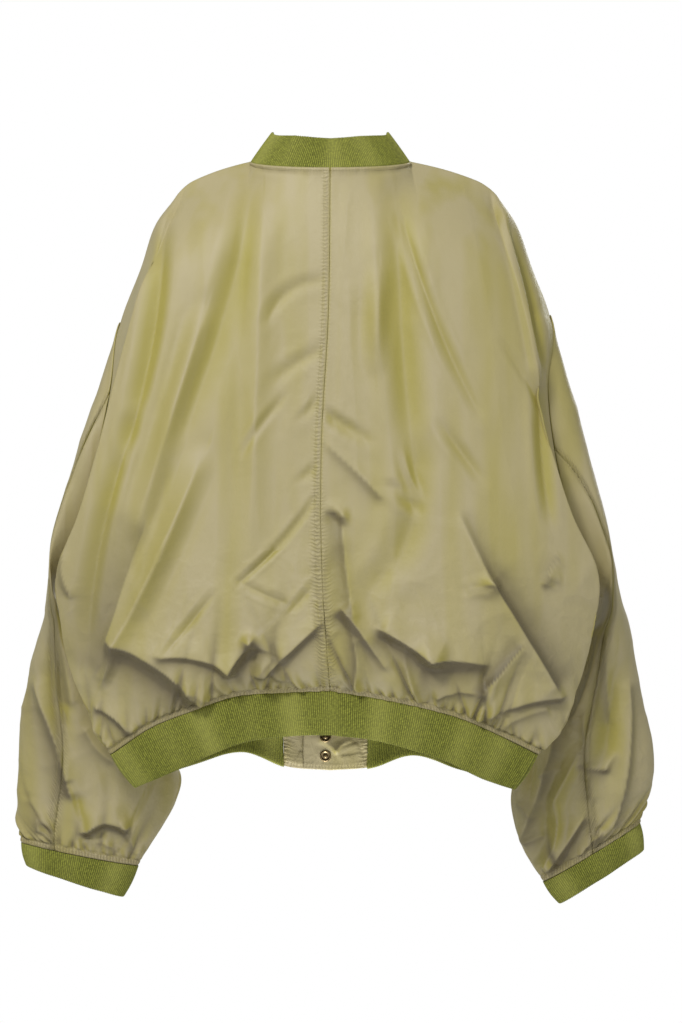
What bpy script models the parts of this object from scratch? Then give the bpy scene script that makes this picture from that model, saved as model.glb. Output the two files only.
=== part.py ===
"""Bomber jacket of crisp nylon with knitted rib collar, cuffs and hem, hung and filled out.

Metres, +Z up.  The back faces -Y and the wearer's right is at +X.  The origin is in the middle
of the neck, level with the collar seam at the back.  The tables below are in millimetres.
Every cut piece is a flat grid of cloth that a function lays in its place and that is then
given its thickness.  Sewn edges end a third of a millimetre apart.
"""
from collections import namedtuple

import bmesh
import bpy
import numpy as np
from mathutils import Matrix

MM = 0.001
CLOTH = 1.6            # shell wall, two plies where it is sewn
KNIT = 2.2             # plain thickness of the rib knit
RIB_RISE = 0.9         # how far a rib stands up from the knit
RIB_PITCH = 10.0       # ribs on the solids, sparser than the knit's own
SEAM_GAP = 0.36        # between the edges of two sewn pieces
RIB_DROP = 0.6         # knit starts this far past the shell's seam line

NECK_HALF_WIDTH = 97.0
NECK_BACK_Y = -62.0
NECK_FRONT_Y = 72.0
NECK_BACK_Z = -3.0
NECK_SIDE_Z = 12.0
NECK_FRONT_Z = -82.0
NECK_DROP_FRONT = 1.25 # how sharply the neck line drops to the middle of the front
SHOULDER_TIP = {-1: (192.0, 5.0, -23.0), 1: (208.0, 5.0, -23.0)}
SHOULDER_ARCH = 4.0
SHOULDER_BLEND = 0.21  # share of the length over which the shoulder line turns into the panels
SHOULDER_EASE = 2.4    # how fast it does so over the shoulder
TIP_EASE = 12.0        # and how much faster at its tip
COLLAR_HEIGHT_BACK = 36.0
COLLAR_HEIGHT_FRONT = 44.0
COLLAR_LEAN = 13.0
COLLAR_SLOPE = 0.6
COLLAR_CURVE = 0.7
COLLAR_LIFT = 2.0      # knit starts this far above the neck seam
COLLAR_OPENING = 5.0   # half the space between the collar's ends
OVERLAP = {-1: 22.0, 1: 34.0}          # each front's edge past the middle
FRONT_LAYER = {-1: 1.8, 1: -1.8}       # left front lies over the right one
PLACKET_FLAT = 36.0    # the fronts run straight across this far from the middle
LAYER_FULL = 52.0
LAYER_GONE = 84.0
BACK_FULLNESS = 3.5    # how square the back is across
FRONT_FULLNESS = 2.6   # how square the front is across
FRONT_ROUNDING = 0.62
ARMHOLE_BEND = 9       # how late the front turns towards the armhole
HEM_SIDE_Z = -708.0
TAB_EDGE = {-1: 59.0, 1: 46.0}         # where hem rib turns into the shell's tab
ARMHOLE_HALF_DEPTH = 38.0
ARMHOLE_ROWS = 12
SHOULDER_ROWS = 6
LOWER_ROWS = 8
GATHER_HEIGHT = 2.6
GATHER_REACH = 0.085   # share of a panel's length that the hem gathers reach up
GATHER_PEAK = 1.6      # places the deepest part of a gather near the hem
GATHER_UNEVEN = 0.3
FOLD_END = 1.3         # a fold fades past its ends over this many half widths

# One row for each level of the body, z being its height at the side.
Level = namedtuple("Level", "z back fold_y fold_left fold_right seam_left seam_right seam_y front tuck")
LEVELS = [
    Level(-23, -62, -20, 184, 197, 192, 208, 5, 60, 0),
    Level(-60, -70, -36, 200, 206, 214, 228, 5, 66, 2),
    Level(-110, -77, -48, 214, 215, 231, 246, 5, 72, 8),
    Level(-184, -83, -56, 235, 232, 258, 271, 6, 78, 8),
    Level(-260, -87, -60, 258, 249, 266, 264, 9, 82, 7),
    Level(-340, -90, -62, 278, 264, 281, 272, 13, 84, 5),
    Level(-420, -92, -62, 302, 290, 297, 290, 18, 86, 1),
    Level(-497, -96, -50, 331, 324, 308, 308, 24, 88, -3),
    Level(-550, -101, -40, 326, 320, 312, 310, 20, 86, -4),
    Level(-600, -105, -36, 316, 308, 306, 302, 15, 84, -4),
    Level(-650, -104, -36, 297, 291, 292, 288, 11, 82, -4),
    Level(-690, -90, -42, 276, 270, 275, 270, 7, 74, -3),
    Level(-708, -72, -44, 262, 248, 263, 248, 5, 64, -2),
]
ARMHOLE_Z = {-1: (-184.0, -489.0), 1: (-175.0, -506.0)}

# Hem seam and lower edge of the rib, along the half width (0 centre, 1 side).
Hem = namedtuple("Hem", "across seam_left seam_right edge_left edge_right")
HEM_BACK = [
    Hem(0.00, -630, -630, -682, -682),
    Hem(0.20, -632, -638, -684, -688),
    Hem(0.45, -638, -651, -694, -703),
    Hem(0.62, -654, -663, -710, -716),
    Hem(0.82, -676, -685, -730, -736),
    Hem(1.00, -708, -708, -748, -750),
]
HEM_FRONT = [
    Hem(0.00, -686, -686, -738, -738),
    Hem(0.20, -682, -682, -734, -734),
    Hem(0.42, -668, -670, -714, -718),
    Hem(0.70, -682, -684, -728, -734),
    Hem(1.00, -708, -708, -748, -750),
]
HEM_TAPER = 0.895      # width of the rib's lower edge against the seam
HEM_DEPTH_TAPER = 0.93 # depth of the rib's lower edge against the seam
HEM_HALF_WIDTH = {-1: 263.0, 1: 248.0}
TAB_COLUMNS = 7
CENTRE_SEAM = [(-3, 0), (-180, -2), (-330, -10), (-430, -11), (-520, -8), (-630, 0)]  # z, x

# One row for each ring of a sleeve: its outer point, its inner point, its thickness, and how far
# its back and its front half bend out sideways.
Ring = namedtuple("Ring", "ox oy oz ix iy iz thick back_bow front_bow")
SLEEVES = {
    -1: [
        Ring(258, 6, -184, 308, 24, -489, 76, 0, 0),
        Ring(277, 14, -243, 317, 28, -493, 90, 4, 0),
        Ring(298, 25, -305, 324, 33, -497, 102, 6, -8),
        Ring(318, 36, -368, 331, 39, -502, 116, 6, -18),
        Ring(336, 46, -432, 336, 46, -509, 130, 5, -28),
        Ring(348, 55, -498, 331, 63, -529, 134, 0, -34),
        Ring(353, 56, -530, 314, 80, -549, 136, 0, -32),
        Ring(356, 58, -548, 294, 95, -570, 138, 0, -28),
        Ring(366, 62, -582, 272, 114, -624, 132, 0, -18),
        Ring(377, 66, -618, 244, 124, -674, 120, 0, -8),
        Ring(384, 70, -656, 212, 126, -716, 110, 0, 0),
        Ring(389, 73, -698, 190, 120, -750, 98, 0, 0),
        Ring(391, 76, -738, 196, 110, -782, 84, 0, 0),
        Ring(392, 79, -776, 212, 102, -812, 72, 0, 0),
        Ring(391, 81, -806, 229, 97, -838, 58, 0, 0),
        Ring(386, 82, -830, 243, 92, -860, 44, 0, 0),
    ],
    1: [
        Ring(271, 6, -175, 308, 24, -506, 76, 0, 0),
        Ring(284, 14, -225, 317, 28, -510, 90, 4, 0),
        Ring(302, 25, -288, 324, 33, -514, 102, 6, -8),
        Ring(319, 36, -354, 331, 39, -519, 116, 6, -18),
        Ring(337, 46, -420, 337, 46, -526, 130, 5, -28),
        Ring(358, 54, -515, 329, 64, -549, 140, 0, -34),
        Ring(370, 58, -553, 300, 94, -582, 140, 0, -28),
        Ring(377, 62, -590, 282, 114, -638, 132, 0, -18),
        Ring(384, 66, -625, 262, 124, -688, 120, 0, -8),
        Ring(391, 70, -658, 241, 127, -735, 110, 0, 0),
        Ring(401, 75, -698, 229, 122, -776, 98, 0, 0),
        Ring(405, 82, -736, 233, 110, -812, 84, 0, 0),
        Ring(402, 90, -764, 243, 103, -840, 72, 0, 0),
        Ring(396, 97, -788, 255, 97, -862, 58, 0, 0),
        Ring(388, 102, -808, 268, 92, -880, 44, 0, 0),
    ],
}
CUFF_EDGE = {
    -1: Ring(381, 84, -858, 262, 94, -898, 38, 0, 0),
    1: Ring(393, 110, -842, 287, 92, -907, 38, 0, 0),
}
JOINING_RINGS = ((0, 1.0), (1, 0.45), (2, 0.12))    # ring, share of the armhole's own form in it
GATHERED_RINGS = ((-2, 1.0), (-3, 0.35))            # ring, share of the gathers' height in it
SLEEVE_SEAM = {-1: 4, 1: 6}            # column of the topstitched seam, from the outer edge

# Folds of the back: a line, how far the cloth stands out (or in) and half its width.
Fold = namedtuple("Fold", "x0 z0 x1 z1 rise reach")
BACK_FOLDS = [
    Fold(-96, -45, -147, -248, -6, 20),
    Fold(-147, -248, -167, -320, -5, 20),
    Fold(-82, -60, -96, -474, 5, 20),
    Fold(-199, -164, -268, -402, -7, 15),
    Fold(-155, -200, -226, -426, 7, 17),
    Fold(-167, -378, -220, -497, 9, 17),
    Fold(-220, -497, -267, -605, 10, 17),
    Fold(-254, -576, -174, -645, -12, 14),
    Fold(-194, -588, -107, -613, -9, 14),
    Fold(-107, -613, -60, -585, -8, 14),
    Fold(-3, -545, -72, -603, -8, 14),
    Fold(81, -45, 101, -402, -8, 22),
    Fold(101, -402, 47, -509, -7, 20),
    Fold(128, -200, 176, -295, -5, 14),
    Fold(-10, -331, 53, -393, -7, 14),
    Fold(157, -426, 196, -509, -8, 14),
    Fold(196, -509, 256, -599, -11, 15),
    Fold(68, -564, 131, -602, -11, 14),
    Fold(166, -640, 256, -612, 10, 18),
    Fold(223, -583, 182, -626, -7, 13),
]
FRONT_FOLDS = [
    Fold(-120, -60, -150, -330, -7, 24),
    Fold(130, -60, 158, -320, -8, 24),
    Fold(-200, -200, -226, -420, 6, 20),
    Fold(205, -190, 232, -430, 6, 20),
    Fold(-70, -330, -104, -560, 6, 24),
    Fold(84, -360, 110, -590, -7, 22),
    Fold(-220, -540, -130, -612, -9, 16),
    Fold(240, -520, 150, -618, -9, 16),
]

# Folds of the sleeves: where round the ring (1 outer edge, -1 inner edge) and which rings.
SleeveFold = namedtuple("SleeveFold", "side face start_ring start_at end_ring end_at rise reach")
SLEEVE_FOLDS = [
    SleeveFold(-1, "back", 8.5, 0.45, 11.0, 0.40, -7, 0.16),
    SleeveFold(-1, "back", 11.0, 0.78, 14.4, 0.42, -9, 0.13),
    SleeveFold(-1, "back", 10.5, -0.35, 13.6, -0.15, -8, 0.16),
    SleeveFold(-1, "front", 9.0, 0.10, 13.0, 0.05, -8, 0.20),
    SleeveFold(-1, "front", 9.0, 0.60, 12.0, 0.55, 6, 0.20),
    SleeveFold(1, "back", 7.5, 0.45, 10.0, 0.35, -7, 0.16),
    SleeveFold(1, "back", 10.2, -0.30, 13.3, -0.62, -10, 0.15),
    SleeveFold(1, "back", 10.2, 0.80, 13.3, 0.55, -9, 0.13),
    SleeveFold(1, "back", 11.0, -0.10, 13.5, -0.30, 8, 0.16),
    SleeveFold(1, "front", 8.0, -0.10, 12.0, 0.15, -8, 0.20),
    SleeveFold(1, "front", 8.0, 0.55, 11.0, 0.60, 6, 0.20),
]

# Shares of a panel, from its side, its top and its hem, over which folds fade out.
Free = namedtuple("Free", "side top hem")
FREE_BACK = Free(0.12, 0.06, 0.05)
FREE_FRONT = Free(0.2, 0.08, 0.05)
GATHER_FREE = 0.1
FOLD_START_X = 40.0                    # the fronts' folds begin this far from the middle
FOLD_FADE_X = 50.0
GATHER_START_X = 50.0
GATHER_FADE_X = 30.0

NECK_SHARE_BACK = 0.42                 # share of the back's width that ends at the neck
FOLD_SHARE = 0.80                      # where the back turns forward at the sides
FOLD_TOP_X = 12.0                      # that line leaves the shoulder this far inside its tip
NECK_SHARE_FRONT = 0.42
BACK_COLUMNS = (7, 8, 4)               # neck, shoulder, turned side
FRONT_COLUMNS = (5, 8, 4)
SNAP_Z = [-721.0, -697.0, -560.0, -430.0, -300.0, -165.0]
TAB_TOP_Z = -688.0
SNAP_X = -6.0
SNAP_RADIUS = 7.2
SNAP_TAPER = 0.72      # width of a snap's top against its foot
SNAP_HEIGHT = 2.4
SNAP_SEAT = 0.45       # between the cloth and a snap
SNAP_SIDES = 14

SHELL = ("shell nylon", (0.46, 0.42, 0.24), 0.42, 0.0)
RIB = ("rib knit", (0.33, 0.34, 0.07), 0.85, 0.0)
METAL = ("snap brass", (0.62, 0.52, 0.32), 0.35, 1.0)


def smooth(t):
    t = np.clip(t, 0.0, 1.0)
    return t * t * (3.0 - 2.0 * t)


def through(xs, ys, at):
    """Value at `at` of a smooth curve through the points, flat beyond its ends."""
    xs = np.asarray(xs, float)
    ys = np.asarray(ys, float)
    if xs[0] > xs[-1]:
        xs, ys = xs[::-1], ys[::-1]
    at = np.clip(at, xs[0], xs[-1])
    step = np.diff(xs)
    rise = np.diff(ys) / step
    slope = np.empty_like(ys)
    slope[0], slope[-1] = rise[0], rise[-1]
    slope[1:-1] = (rise[:-1] * step[1:] + rise[1:] * step[:-1]) / (step[:-1] + step[1:])
    k = np.clip(np.searchsorted(xs, at, side="right") - 1, 0, len(step) - 1)
    t = (at - xs[k]) / step[k]
    start, end = ys[k], ys[k + 1]
    a, b = slope[k] * step[k], slope[k + 1] * step[k]
    return start + t * (a + t * (3 * (end - start) - 2 * a - b + t * (2 * (start - end) + a + b)))


def level(column, z):
    return through([row.z for row in LEVELS], [getattr(row, column) for row in LEVELS], z)


def sided(side, name):
    return name + ("_left" if side < 0 else "_right")


def hem_height(rows, side, line, across):
    return through([row.across for row in rows], [getattr(row, sided(side, line)) for row in rows], across)


def push(folds, x, z):
    """How far the folds lift the cloth at x, z."""
    lift = np.zeros_like(x)
    for fold in folds:
        along = np.array([fold.x1 - fold.x0, fold.z1 - fold.z0], float)
        length = np.hypot(*along)
        along /= length
        t = (x - fold.x0) * along[0] + (z - fold.z0) * along[1]
        off = (x - fold.x0) * along[1] - (z - fold.z0) * along[0]
        past = np.maximum(np.maximum(-t, t - length), 0.0)
        fading = (past / (FOLD_END * fold.reach)) ** 2
        lift += fold.rise * np.exp(-(off / fold.reach) ** 2 - fading)
    return lift


def armhole_rows():
    """Places down an armhole from 1 to -1, closer together at both ends."""
    k = np.arange(ARMHOLE_ROWS + 1) / ARMHOLE_ROWS
    return 0.5 * np.cos(np.pi * k) + 0.5 * (1.0 - 2.0 * k)


def body_rows(side):
    """Shares of the panel's length at which its rows lie, from the shoulder to the hem."""
    top, low = ARMHOLE_Z[side]
    start = SHOULDER_TIP[side][2]
    shoulder = np.linspace(start, top, SHOULDER_ROWS + 1)[:-1]
    armhole = (top + low) / 2 + (top - low) / 2 * armhole_rows()
    t = np.linspace(0, 1, LOWER_ROWS + 1)[1:]
    lower = low + (HEM_SIDE_Z - low) * (0.75 * t + 0.25 * np.sin(np.pi / 2 * t))
    return (np.concatenate([shoulder, armhole, lower]) - start) / (HEM_SIDE_Z - start)


def armhole_half_depth(side, z):
    top, low = ARMHOLE_Z[side]
    share = (z - (top + low) / 2) / ((top - low) / 2)
    return ARMHOLE_HALF_DEPTH * np.sqrt(np.clip(1.0 - share ** 2, 0.0, 1.0))


def shoulder_line(side, share):
    """Shoulder seam from the neck (share 0) to its tip, eased towards the tip."""
    tip = SHOULDER_TIP[side]
    split = BACK_COLUMNS[1] / (BACK_COLUMNS[1] + BACK_COLUMNS[2])
    inner = NECK_HALF_WIDTH + (tip[0] - FOLD_TOP_X - NECK_HALF_WIDTH) * share / split
    outer = tip[0] - FOLD_TOP_X + FOLD_TOP_X * (share - split) / (1 - split)
    x = np.where(share < split, inner, outer)
    along = (x - NECK_HALF_WIDTH) / (tip[0] - NECK_HALF_WIDTH)
    z = NECK_SIDE_Z + (tip[2] - NECK_SIDE_Z) * along + SHOULDER_ARCH * np.sin(np.pi * along)
    return side * x, tip[1] * along, z


def neck_line(angle, front):
    """Neck seam at an angle from its middle (0) to the shoulder (90 degrees)."""
    depth = NECK_FRONT_Y if front else NECK_BACK_Y
    middle_z = NECK_FRONT_Z if front else NECK_BACK_Z
    drop = np.abs(np.cos(angle)) ** (NECK_DROP_FRONT if front else 1.0)
    x = NECK_HALF_WIDTH * np.sin(angle)
    past_placket = np.clip((np.abs(x) - PLACKET_FLAT) / (NECK_HALF_WIDTH - PLACKET_FLAT), 0, 1)
    y = depth * np.sqrt(1 - past_placket ** 2) if front else depth * np.cos(angle)
    return x, y, NECK_SIDE_Z + (middle_z - NECK_SIDE_Z) * drop


def columns(counts, neck_share, fold_share):
    neck = np.linspace(0, neck_share, counts[0] + 1)
    shoulder = np.linspace(neck_share, fold_share, counts[1] + 1)[1:]
    turned = np.linspace(fold_share, 1, counts[2] + 1)[1:]
    return np.concatenate([neck, shoulder, turned])


def top_row(side, u, front):
    """Upper edge of a panel: half the neck, then the shoulder."""
    neck_share = NECK_SHARE_FRONT if front else NECK_SHARE_BACK
    start = -np.arcsin(OVERLAP[side] / NECK_HALF_WIDTH) if front else 0.0
    angle = start + (np.pi / 2 - start) * np.clip(u / neck_share, 0, 1)
    neck = neck_line(angle, front)
    fold = FOLD_SHARE
    split = BACK_COLUMNS[1] / (BACK_COLUMNS[1] + BACK_COLUMNS[2])
    share = np.where(u < fold, (u - neck_share) / (fold - neck_share) * split,
                     split + (u - fold) / (1 - fold) * (1 - split))
    shoulder = shoulder_line(side, np.clip(share, 0, 1))
    at_neck = u <= neck_share
    return [np.where(at_neck, side * n if i == 0 else n, s) for i, (n, s) in enumerate(zip(neck, shoulder))]


def gathers(v, column_index):
    """Alternate columns stand out above the hem seam and die away upwards."""
    down = np.clip((v - 1.0 + GATHER_REACH) / GATHER_REACH, 0, 1)
    shape = np.sin(np.pi * down ** GATHER_PEAK)
    uneven = 1.0 - GATHER_UNEVEN + GATHER_UNEVEN * np.sin(1.9 * column_index)
    return GATHER_HEIGHT * shape * uneven * np.where(column_index % 2 == 0, 1.0, -1.0)


def clear_of_edges(u, v, free):
    """Full inside a panel and nothing at its side, top and hem."""
    return smooth((1 - u) / free.side) * smooth(v / free.top) * smooth((1 - v) / free.hem)


def shoulder_blend(u, v):
    """How far a panel has left its upper edge, soonest at the shoulder's tip."""
    turn = np.clip((u - FOLD_SHARE) / (1 - FOLD_SHARE), 0, 1)
    return 1.0 - (1.0 - np.clip(v / SHOULDER_BLEND, 0, 1)) ** (SHOULDER_EASE + TIP_EASE * turn ** 2)


def back_panel(side):
    u_list = columns(BACK_COLUMNS, NECK_SHARE_BACK, FOLD_SHARE)
    v, u = np.meshgrid(body_rows(side), u_list, indexing="ij")
    index = np.broadcast_to(np.arange(len(u_list)), u.shape)
    tip_z = SHOULDER_TIP[side][2]
    z_side = tip_z + (HEM_SIDE_Z - tip_z) * v
    fold_x, fold_y = level(sided(side, "fold"), z_side), level("fold_y", z_side)
    seam_x = level(sided(side, "seam"), z_side)
    seam_y = level("seam_y", z_side) - armhole_half_depth(side, z_side)
    q = np.clip(u / FOLD_SHARE, 0, 1)
    turn = np.clip((u - FOLD_SHARE) / (1 - FOLD_SHARE), 0, 1)
    outward, forward = np.sin(np.pi / 2 * turn), 1 - np.cos(np.pi / 2 * turn)
    across = np.where(u <= FOLD_SHARE, fold_x * q, fold_x + (seam_x - fold_x) * outward)
    across = across - level("tuck", z_side) * np.sin(np.pi * turn)
    x = side * across
    y = np.where(u <= FOLD_SHARE, fold_y + (level("back", z_side) - fold_y) * (1 - q ** BACK_FULLNESS),
                 fold_y + (seam_y - fold_y) * forward)
    top_x, top_y, top_z = top_row(side, u, False)
    hem_z = hem_height(HEM_BACK, side, "seam", np.abs(x) / level(sided(side, "seam"), z_side))
    z = top_z + (hem_z - top_z) * v
    blend = shoulder_blend(u, v)
    x = top_x + (x - top_x) * blend
    y = top_y + (y - top_y) * blend
    x = x + through([p[0] for p in CENTRE_SEAM], [p[1] for p in CENTRE_SEAM], z) * (1 - q) * blend
    y = y - push(BACK_FOLDS, x, z) * clear_of_edges(u, v, FREE_BACK)
    y = y - gathers(v, index) * smooth((1 - u) / GATHER_FREE)
    return np.stack([x, y, z], axis=-1)


def layered(side, x):
    """Space between the two fronts where they overlap."""
    return FRONT_LAYER[side] * (1 - smooth((np.abs(x) - LAYER_FULL) / (LAYER_GONE - LAYER_FULL)))


def front_panel(side):
    u_list = columns(FRONT_COLUMNS, NECK_SHARE_FRONT, FOLD_SHARE)
    v, u = np.meshgrid(body_rows(side), u_list, indexing="ij")
    index = np.broadcast_to(np.arange(len(u_list)), u.shape)
    tip_z = SHOULDER_TIP[side][2]
    z_side = tip_z + (HEM_SIDE_Z - tip_z) * v
    seam_x = level(sided(side, "seam"), z_side)
    seam_y = level("seam_y", z_side)
    across = -OVERLAP[side] + (seam_x + OVERLAP[side]) * u
    x = side * across
    share = np.abs(across) / seam_x
    fullness = np.clip(1 - share ** FRONT_FULLNESS, 0, 1) ** FRONT_ROUNDING
    y = seam_y + (level("front", z_side) - seam_y) * fullness
    y = y + armhole_half_depth(side, z_side) * share ** ARMHOLE_BEND
    top_x, top_y, top_z = top_row(side, u, True)
    hem_z = hem_height(HEM_FRONT, side, "seam", share)
    z = top_z + (hem_z - top_z) * v
    blend = shoulder_blend(u, v)
    x = top_x + (x - top_x) * blend
    y = top_y + (y - top_y) * blend
    beside_placket = smooth((np.abs(x) - FOLD_START_X) / FOLD_FADE_X)
    y = y + push(FRONT_FOLDS, x, z) * clear_of_edges(u, v, FREE_FRONT) * beside_placket + layered(side, x)
    beside_overlap = smooth((np.abs(x) - GATHER_START_X) / GATHER_FADE_X)
    y = y + gathers(v, index) * smooth((1 - u) / GATHER_FREE) * beside_overlap
    return np.stack([x, y, z], axis=-1)


def ring_points(side, ring, up, out):
    """Points of one sleeve ring: `up` runs from its outer edge (1) to its inner edge (-1)."""
    outer = np.array([side * ring.ox, ring.oy, ring.oz], float)
    inner = np.array([side * ring.ix, ring.iy, ring.iz], float)
    half = (outer - inner) / 2
    near = np.array([0.0, -1.0, 0.0])
    bow = np.zeros((len(up), 3))
    bow[:, 0] = side * np.where(out > 0, ring.back_bow, ring.front_bow) * out ** 2
    return (outer + inner) / 2 + up[:, None] * half + out[:, None] * near * ring.thick / 2 + bow


def loop_shares():
    """Places round a ring, from its outer edge down the back and up the front."""
    down = armhole_rows()
    up = np.concatenate([down, down[-2::-1]])
    out = np.sqrt(np.clip(1 - up ** 2, 0, 1))
    out[ARMHOLE_ROWS + 1:] *= -1
    return up, out


def armhole_loop(side):
    up, out = loop_shares()
    top, low = ARMHOLE_Z[side]
    z = (top + low) / 2 + (top - low) / 2 * up
    y = level("seam_y", z) - np.sign(out) * armhole_half_depth(side, z)
    return np.stack([side * level(sided(side, "seam"), z), y, z], axis=-1)


def sleeve_lift(side, rings, up, out):
    """How far the folds lift a sleeve's cloth, ring by ring."""
    lift = np.zeros((len(rings), len(up)))
    number = np.arange(len(rings), dtype=float)[:, None]
    for fold in SLEEVE_FOLDS:
        if fold.side != side:
            continue
        t = np.clip((number - fold.start_ring) / (fold.end_ring - fold.start_ring), 0, 1)
        centre = fold.start_at + (fold.end_at - fold.start_at) * t
        past = np.maximum(np.maximum(fold.start_ring - number, number - fold.end_ring), 0)
        facing = out > 0 if fold.face == "back" else out < 0
        lift += fold.rise * np.exp(-((up - centre) / fold.reach) ** 2 - past ** 2) * facing
    return lift


def whole_sleeve(side):
    """All rings of a sleeve, as an array of rings by places round the ring."""
    up, out = loop_shares()
    rings = SLEEVES[side]
    tube = np.array([ring_points(side, ring, up, out) for ring in rings])
    true_start = armhole_loop(side) - tube[0]
    for number, share in JOINING_RINGS:
        tube[number] += true_start * share
    lift = sleeve_lift(side, rings, up, out)
    index = np.arange(len(up))
    for number, share in GATHERED_RINGS:
        lift[number] += GATHER_HEIGHT * share * np.where(index % 2 == 0, 1.0, -1.0)
    centre = tube[:, :-1].mean(axis=1, keepdims=True)
    outward = unit(tube - centre)
    lift[:, -1] = lift[:, 0]
    return tube + outward * lift[..., None]


def unit(vectors):
    return vectors / np.maximum(np.linalg.norm(vectors, axis=-1, keepdims=True), 1e-9)


def surface_normals(points, centre, closed=False):
    """Normals of a grid of points, each from the cells around it, facing away from the centre."""
    cell = np.cross(points[1:, 1:] - points[:-1, :-1], points[1:, :-1] - points[:-1, 1:])
    normal = np.zeros_like(points)
    for rows in (slice(None, -1), slice(1, None)):
        for cols in (slice(None, -1), slice(1, None)):
            normal[rows, cols] += cell
    if closed:
        normal[:, 0] += normal[:, -1]
        normal[:, -1] = normal[:, 0]
    normal = unit(normal)
    return normal if (normal * (points - centre)).sum() > 0 else -normal


KEYS_PER_MM = 20
KEY_OFFSET = 0.137     # keeps round numbers off the limits between keys


def edge_cells(shape):
    rows, cols = shape
    return [(i, j) for i in range(rows) for j in range(cols) if i in (0, rows - 1) or j in (0, cols - 1)]


def place_key(point):
    """The same for points within about a twentieth of a millimetre, so that sewn edges find each other."""
    return tuple(np.round(point * KEYS_PER_MM + KEY_OFFSET).astype(int))


def towards_inside(points, i, j):
    """From an edge point towards its next point inside the panel."""
    rows, cols = points.shape[:2]
    return points[min(max(i, 1), rows - 2), min(max(j, 1), cols - 2)] - points[i, j]


def sew(sheets, normals):
    """Share the normals of edges that meet, then draw every edge back by half the seam gap."""
    facing, inside = {}, {}
    for name, points in sheets.items():
        for i, j in edge_cells(points.shape[:2]):
            key = place_key(points[i, j])
            facing[key] = facing.get(key, 0.0) + normals[name][i, j]
            inside[key] = inside.get(key, 0.0) + unit(towards_inside(points, i, j))
    drawn = {}
    for name, points in sheets.items():
        normal = normals[name]
        rows, cols = points.shape[:2]
        moved = points.copy()
        for i, j in edge_cells((rows, cols)):
            key = place_key(points[i, j])
            # Where panels meet back to back, as at the tip of the shoulder, the way out of both is used.
            opposed = np.linalg.norm(facing[key]) < 0.1
            normal[i, j] = unit(-inside[key] if opposed else facing[key])
            inward = towards_inside(points, i, j)
            if i in (0, rows - 1):
                tangent = points[i, min(j + 1, cols - 1)] - points[i, max(j - 1, 0)]
                moved[i, j] += draw_back(normal[i, j], tangent, inward)
            if j in (0, cols - 1):
                tangent = points[min(i + 1, rows - 1), j] - points[max(i - 1, 0), j]
                moved[i, j] += draw_back(normal[i, j], tangent, inward)
        drawn[name] = moved
    return drawn


def draw_back(normal, tangent, inward):
    """The step that draws an edge point into its own panel by half the seam gap."""
    direction = unit(np.cross(normal, tangent))
    if direction.dot(inward) < 0:
        direction = -direction
    return direction * SEAM_GAP / 2


def material(kind):
    name, colour, roughness, metallic = kind
    found = bpy.data.materials.get(name)
    if found:
        return found
    made = bpy.data.materials.new(name)
    made.use_nodes = True
    shader = made.node_tree.nodes["Principled BSDF"]
    shader.inputs["Base Color"].default_value = (*colour, 1.0)
    shader.inputs["Roughness"].default_value = roughness
    shader.inputs["Metallic"].default_value = metallic
    made.diffuse_color = (*colour, 1.0)
    return made


def add_object(name, bm, kind):
    bmesh.ops.recalc_face_normals(bm, faces=bm.faces[:])
    mesh = bpy.data.meshes.new(name)
    bm.to_mesh(mesh)
    bm.free()
    mesh.materials.append(material(kind))
    made = bpy.data.objects.new(name, mesh)
    collection.objects.link(made)
    return made


def wall(name, outer, inner, kind, closed=False, tip=False):
    """A flat grid of cloth, extruded to its thickness and laid through the two layers' points.

    A panel with a shoulder tip has that corner split from the tip inwards, so that the two
    panels that meet round the tip do not share a triangle.
    """
    rows, cols = outer.shape[:2]
    bm = bmesh.new()
    bmesh.ops.create_grid(bm, x_segments=cols - 1, y_segments=rows - 1, size=0.5)
    cell = bm.verts.layers.int.new("cell")
    for vert in bm.verts:
        j = round((vert.co.x + 0.5) * (cols - 1))
        i = round((vert.co.y + 0.5) * (rows - 1))
        vert[cell] = i * cols + j
        vert.co = inner[i, j] * MM
    if closed:
        bmesh.ops.remove_doubles(bm, verts=bm.verts[:], dist=1e-6)
    lifted = bmesh.ops.extrude_face_region(bm, geom=bm.faces[:], use_keep_orig=True)
    for vert in (item for item in lifted["geom"] if isinstance(item, bmesh.types.BMVert)):
        i, j = divmod(vert[cell], cols)
        vert.co = outer[i, j] * MM
    if tip:
        raised = {item for item in lifted["geom"] if isinstance(item, bmesh.types.BMVert)}
        corner = [vert for vert in bm.verts if vert[cell] in (cols - 1, 2 * cols - 2)]
        bmesh.ops.connect_verts(bm, verts=[vert for vert in corner if vert in raised])
        bmesh.ops.connect_verts(bm, verts=[vert for vert in corner if vert not in raised])
    return add_object(name, bm, kind)


def ribbed(name, line, normal, closed=False):
    """Rib knit hanging from a seam line: raised ribs outside, plain inside."""
    rows, cols = line.shape[:2]
    rise = np.where(np.arange(cols) % 2 == 0, RIB_RISE, 0.0)
    rise[-1] = rise[0]
    outer = line + normal * (KNIT / 2 + rise)[None, :, None]
    return wall(name, outer, line - normal * KNIT / 2, RIB, closed)


def resample(points, count):
    """Evenly spaced points along a polyline."""
    steps = np.linalg.norm(np.diff(points, axis=0), axis=1)
    place = np.concatenate([[0], np.cumsum(steps)])
    at = np.linspace(0, place[-1], count)
    return np.stack([np.interp(at, place, points[:, k]) for k in range(3)], axis=-1)


def rib_columns(points):
    length = np.linalg.norm(np.diff(points, axis=0), axis=1).sum()
    return 2 * int(length / RIB_PITCH)


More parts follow.
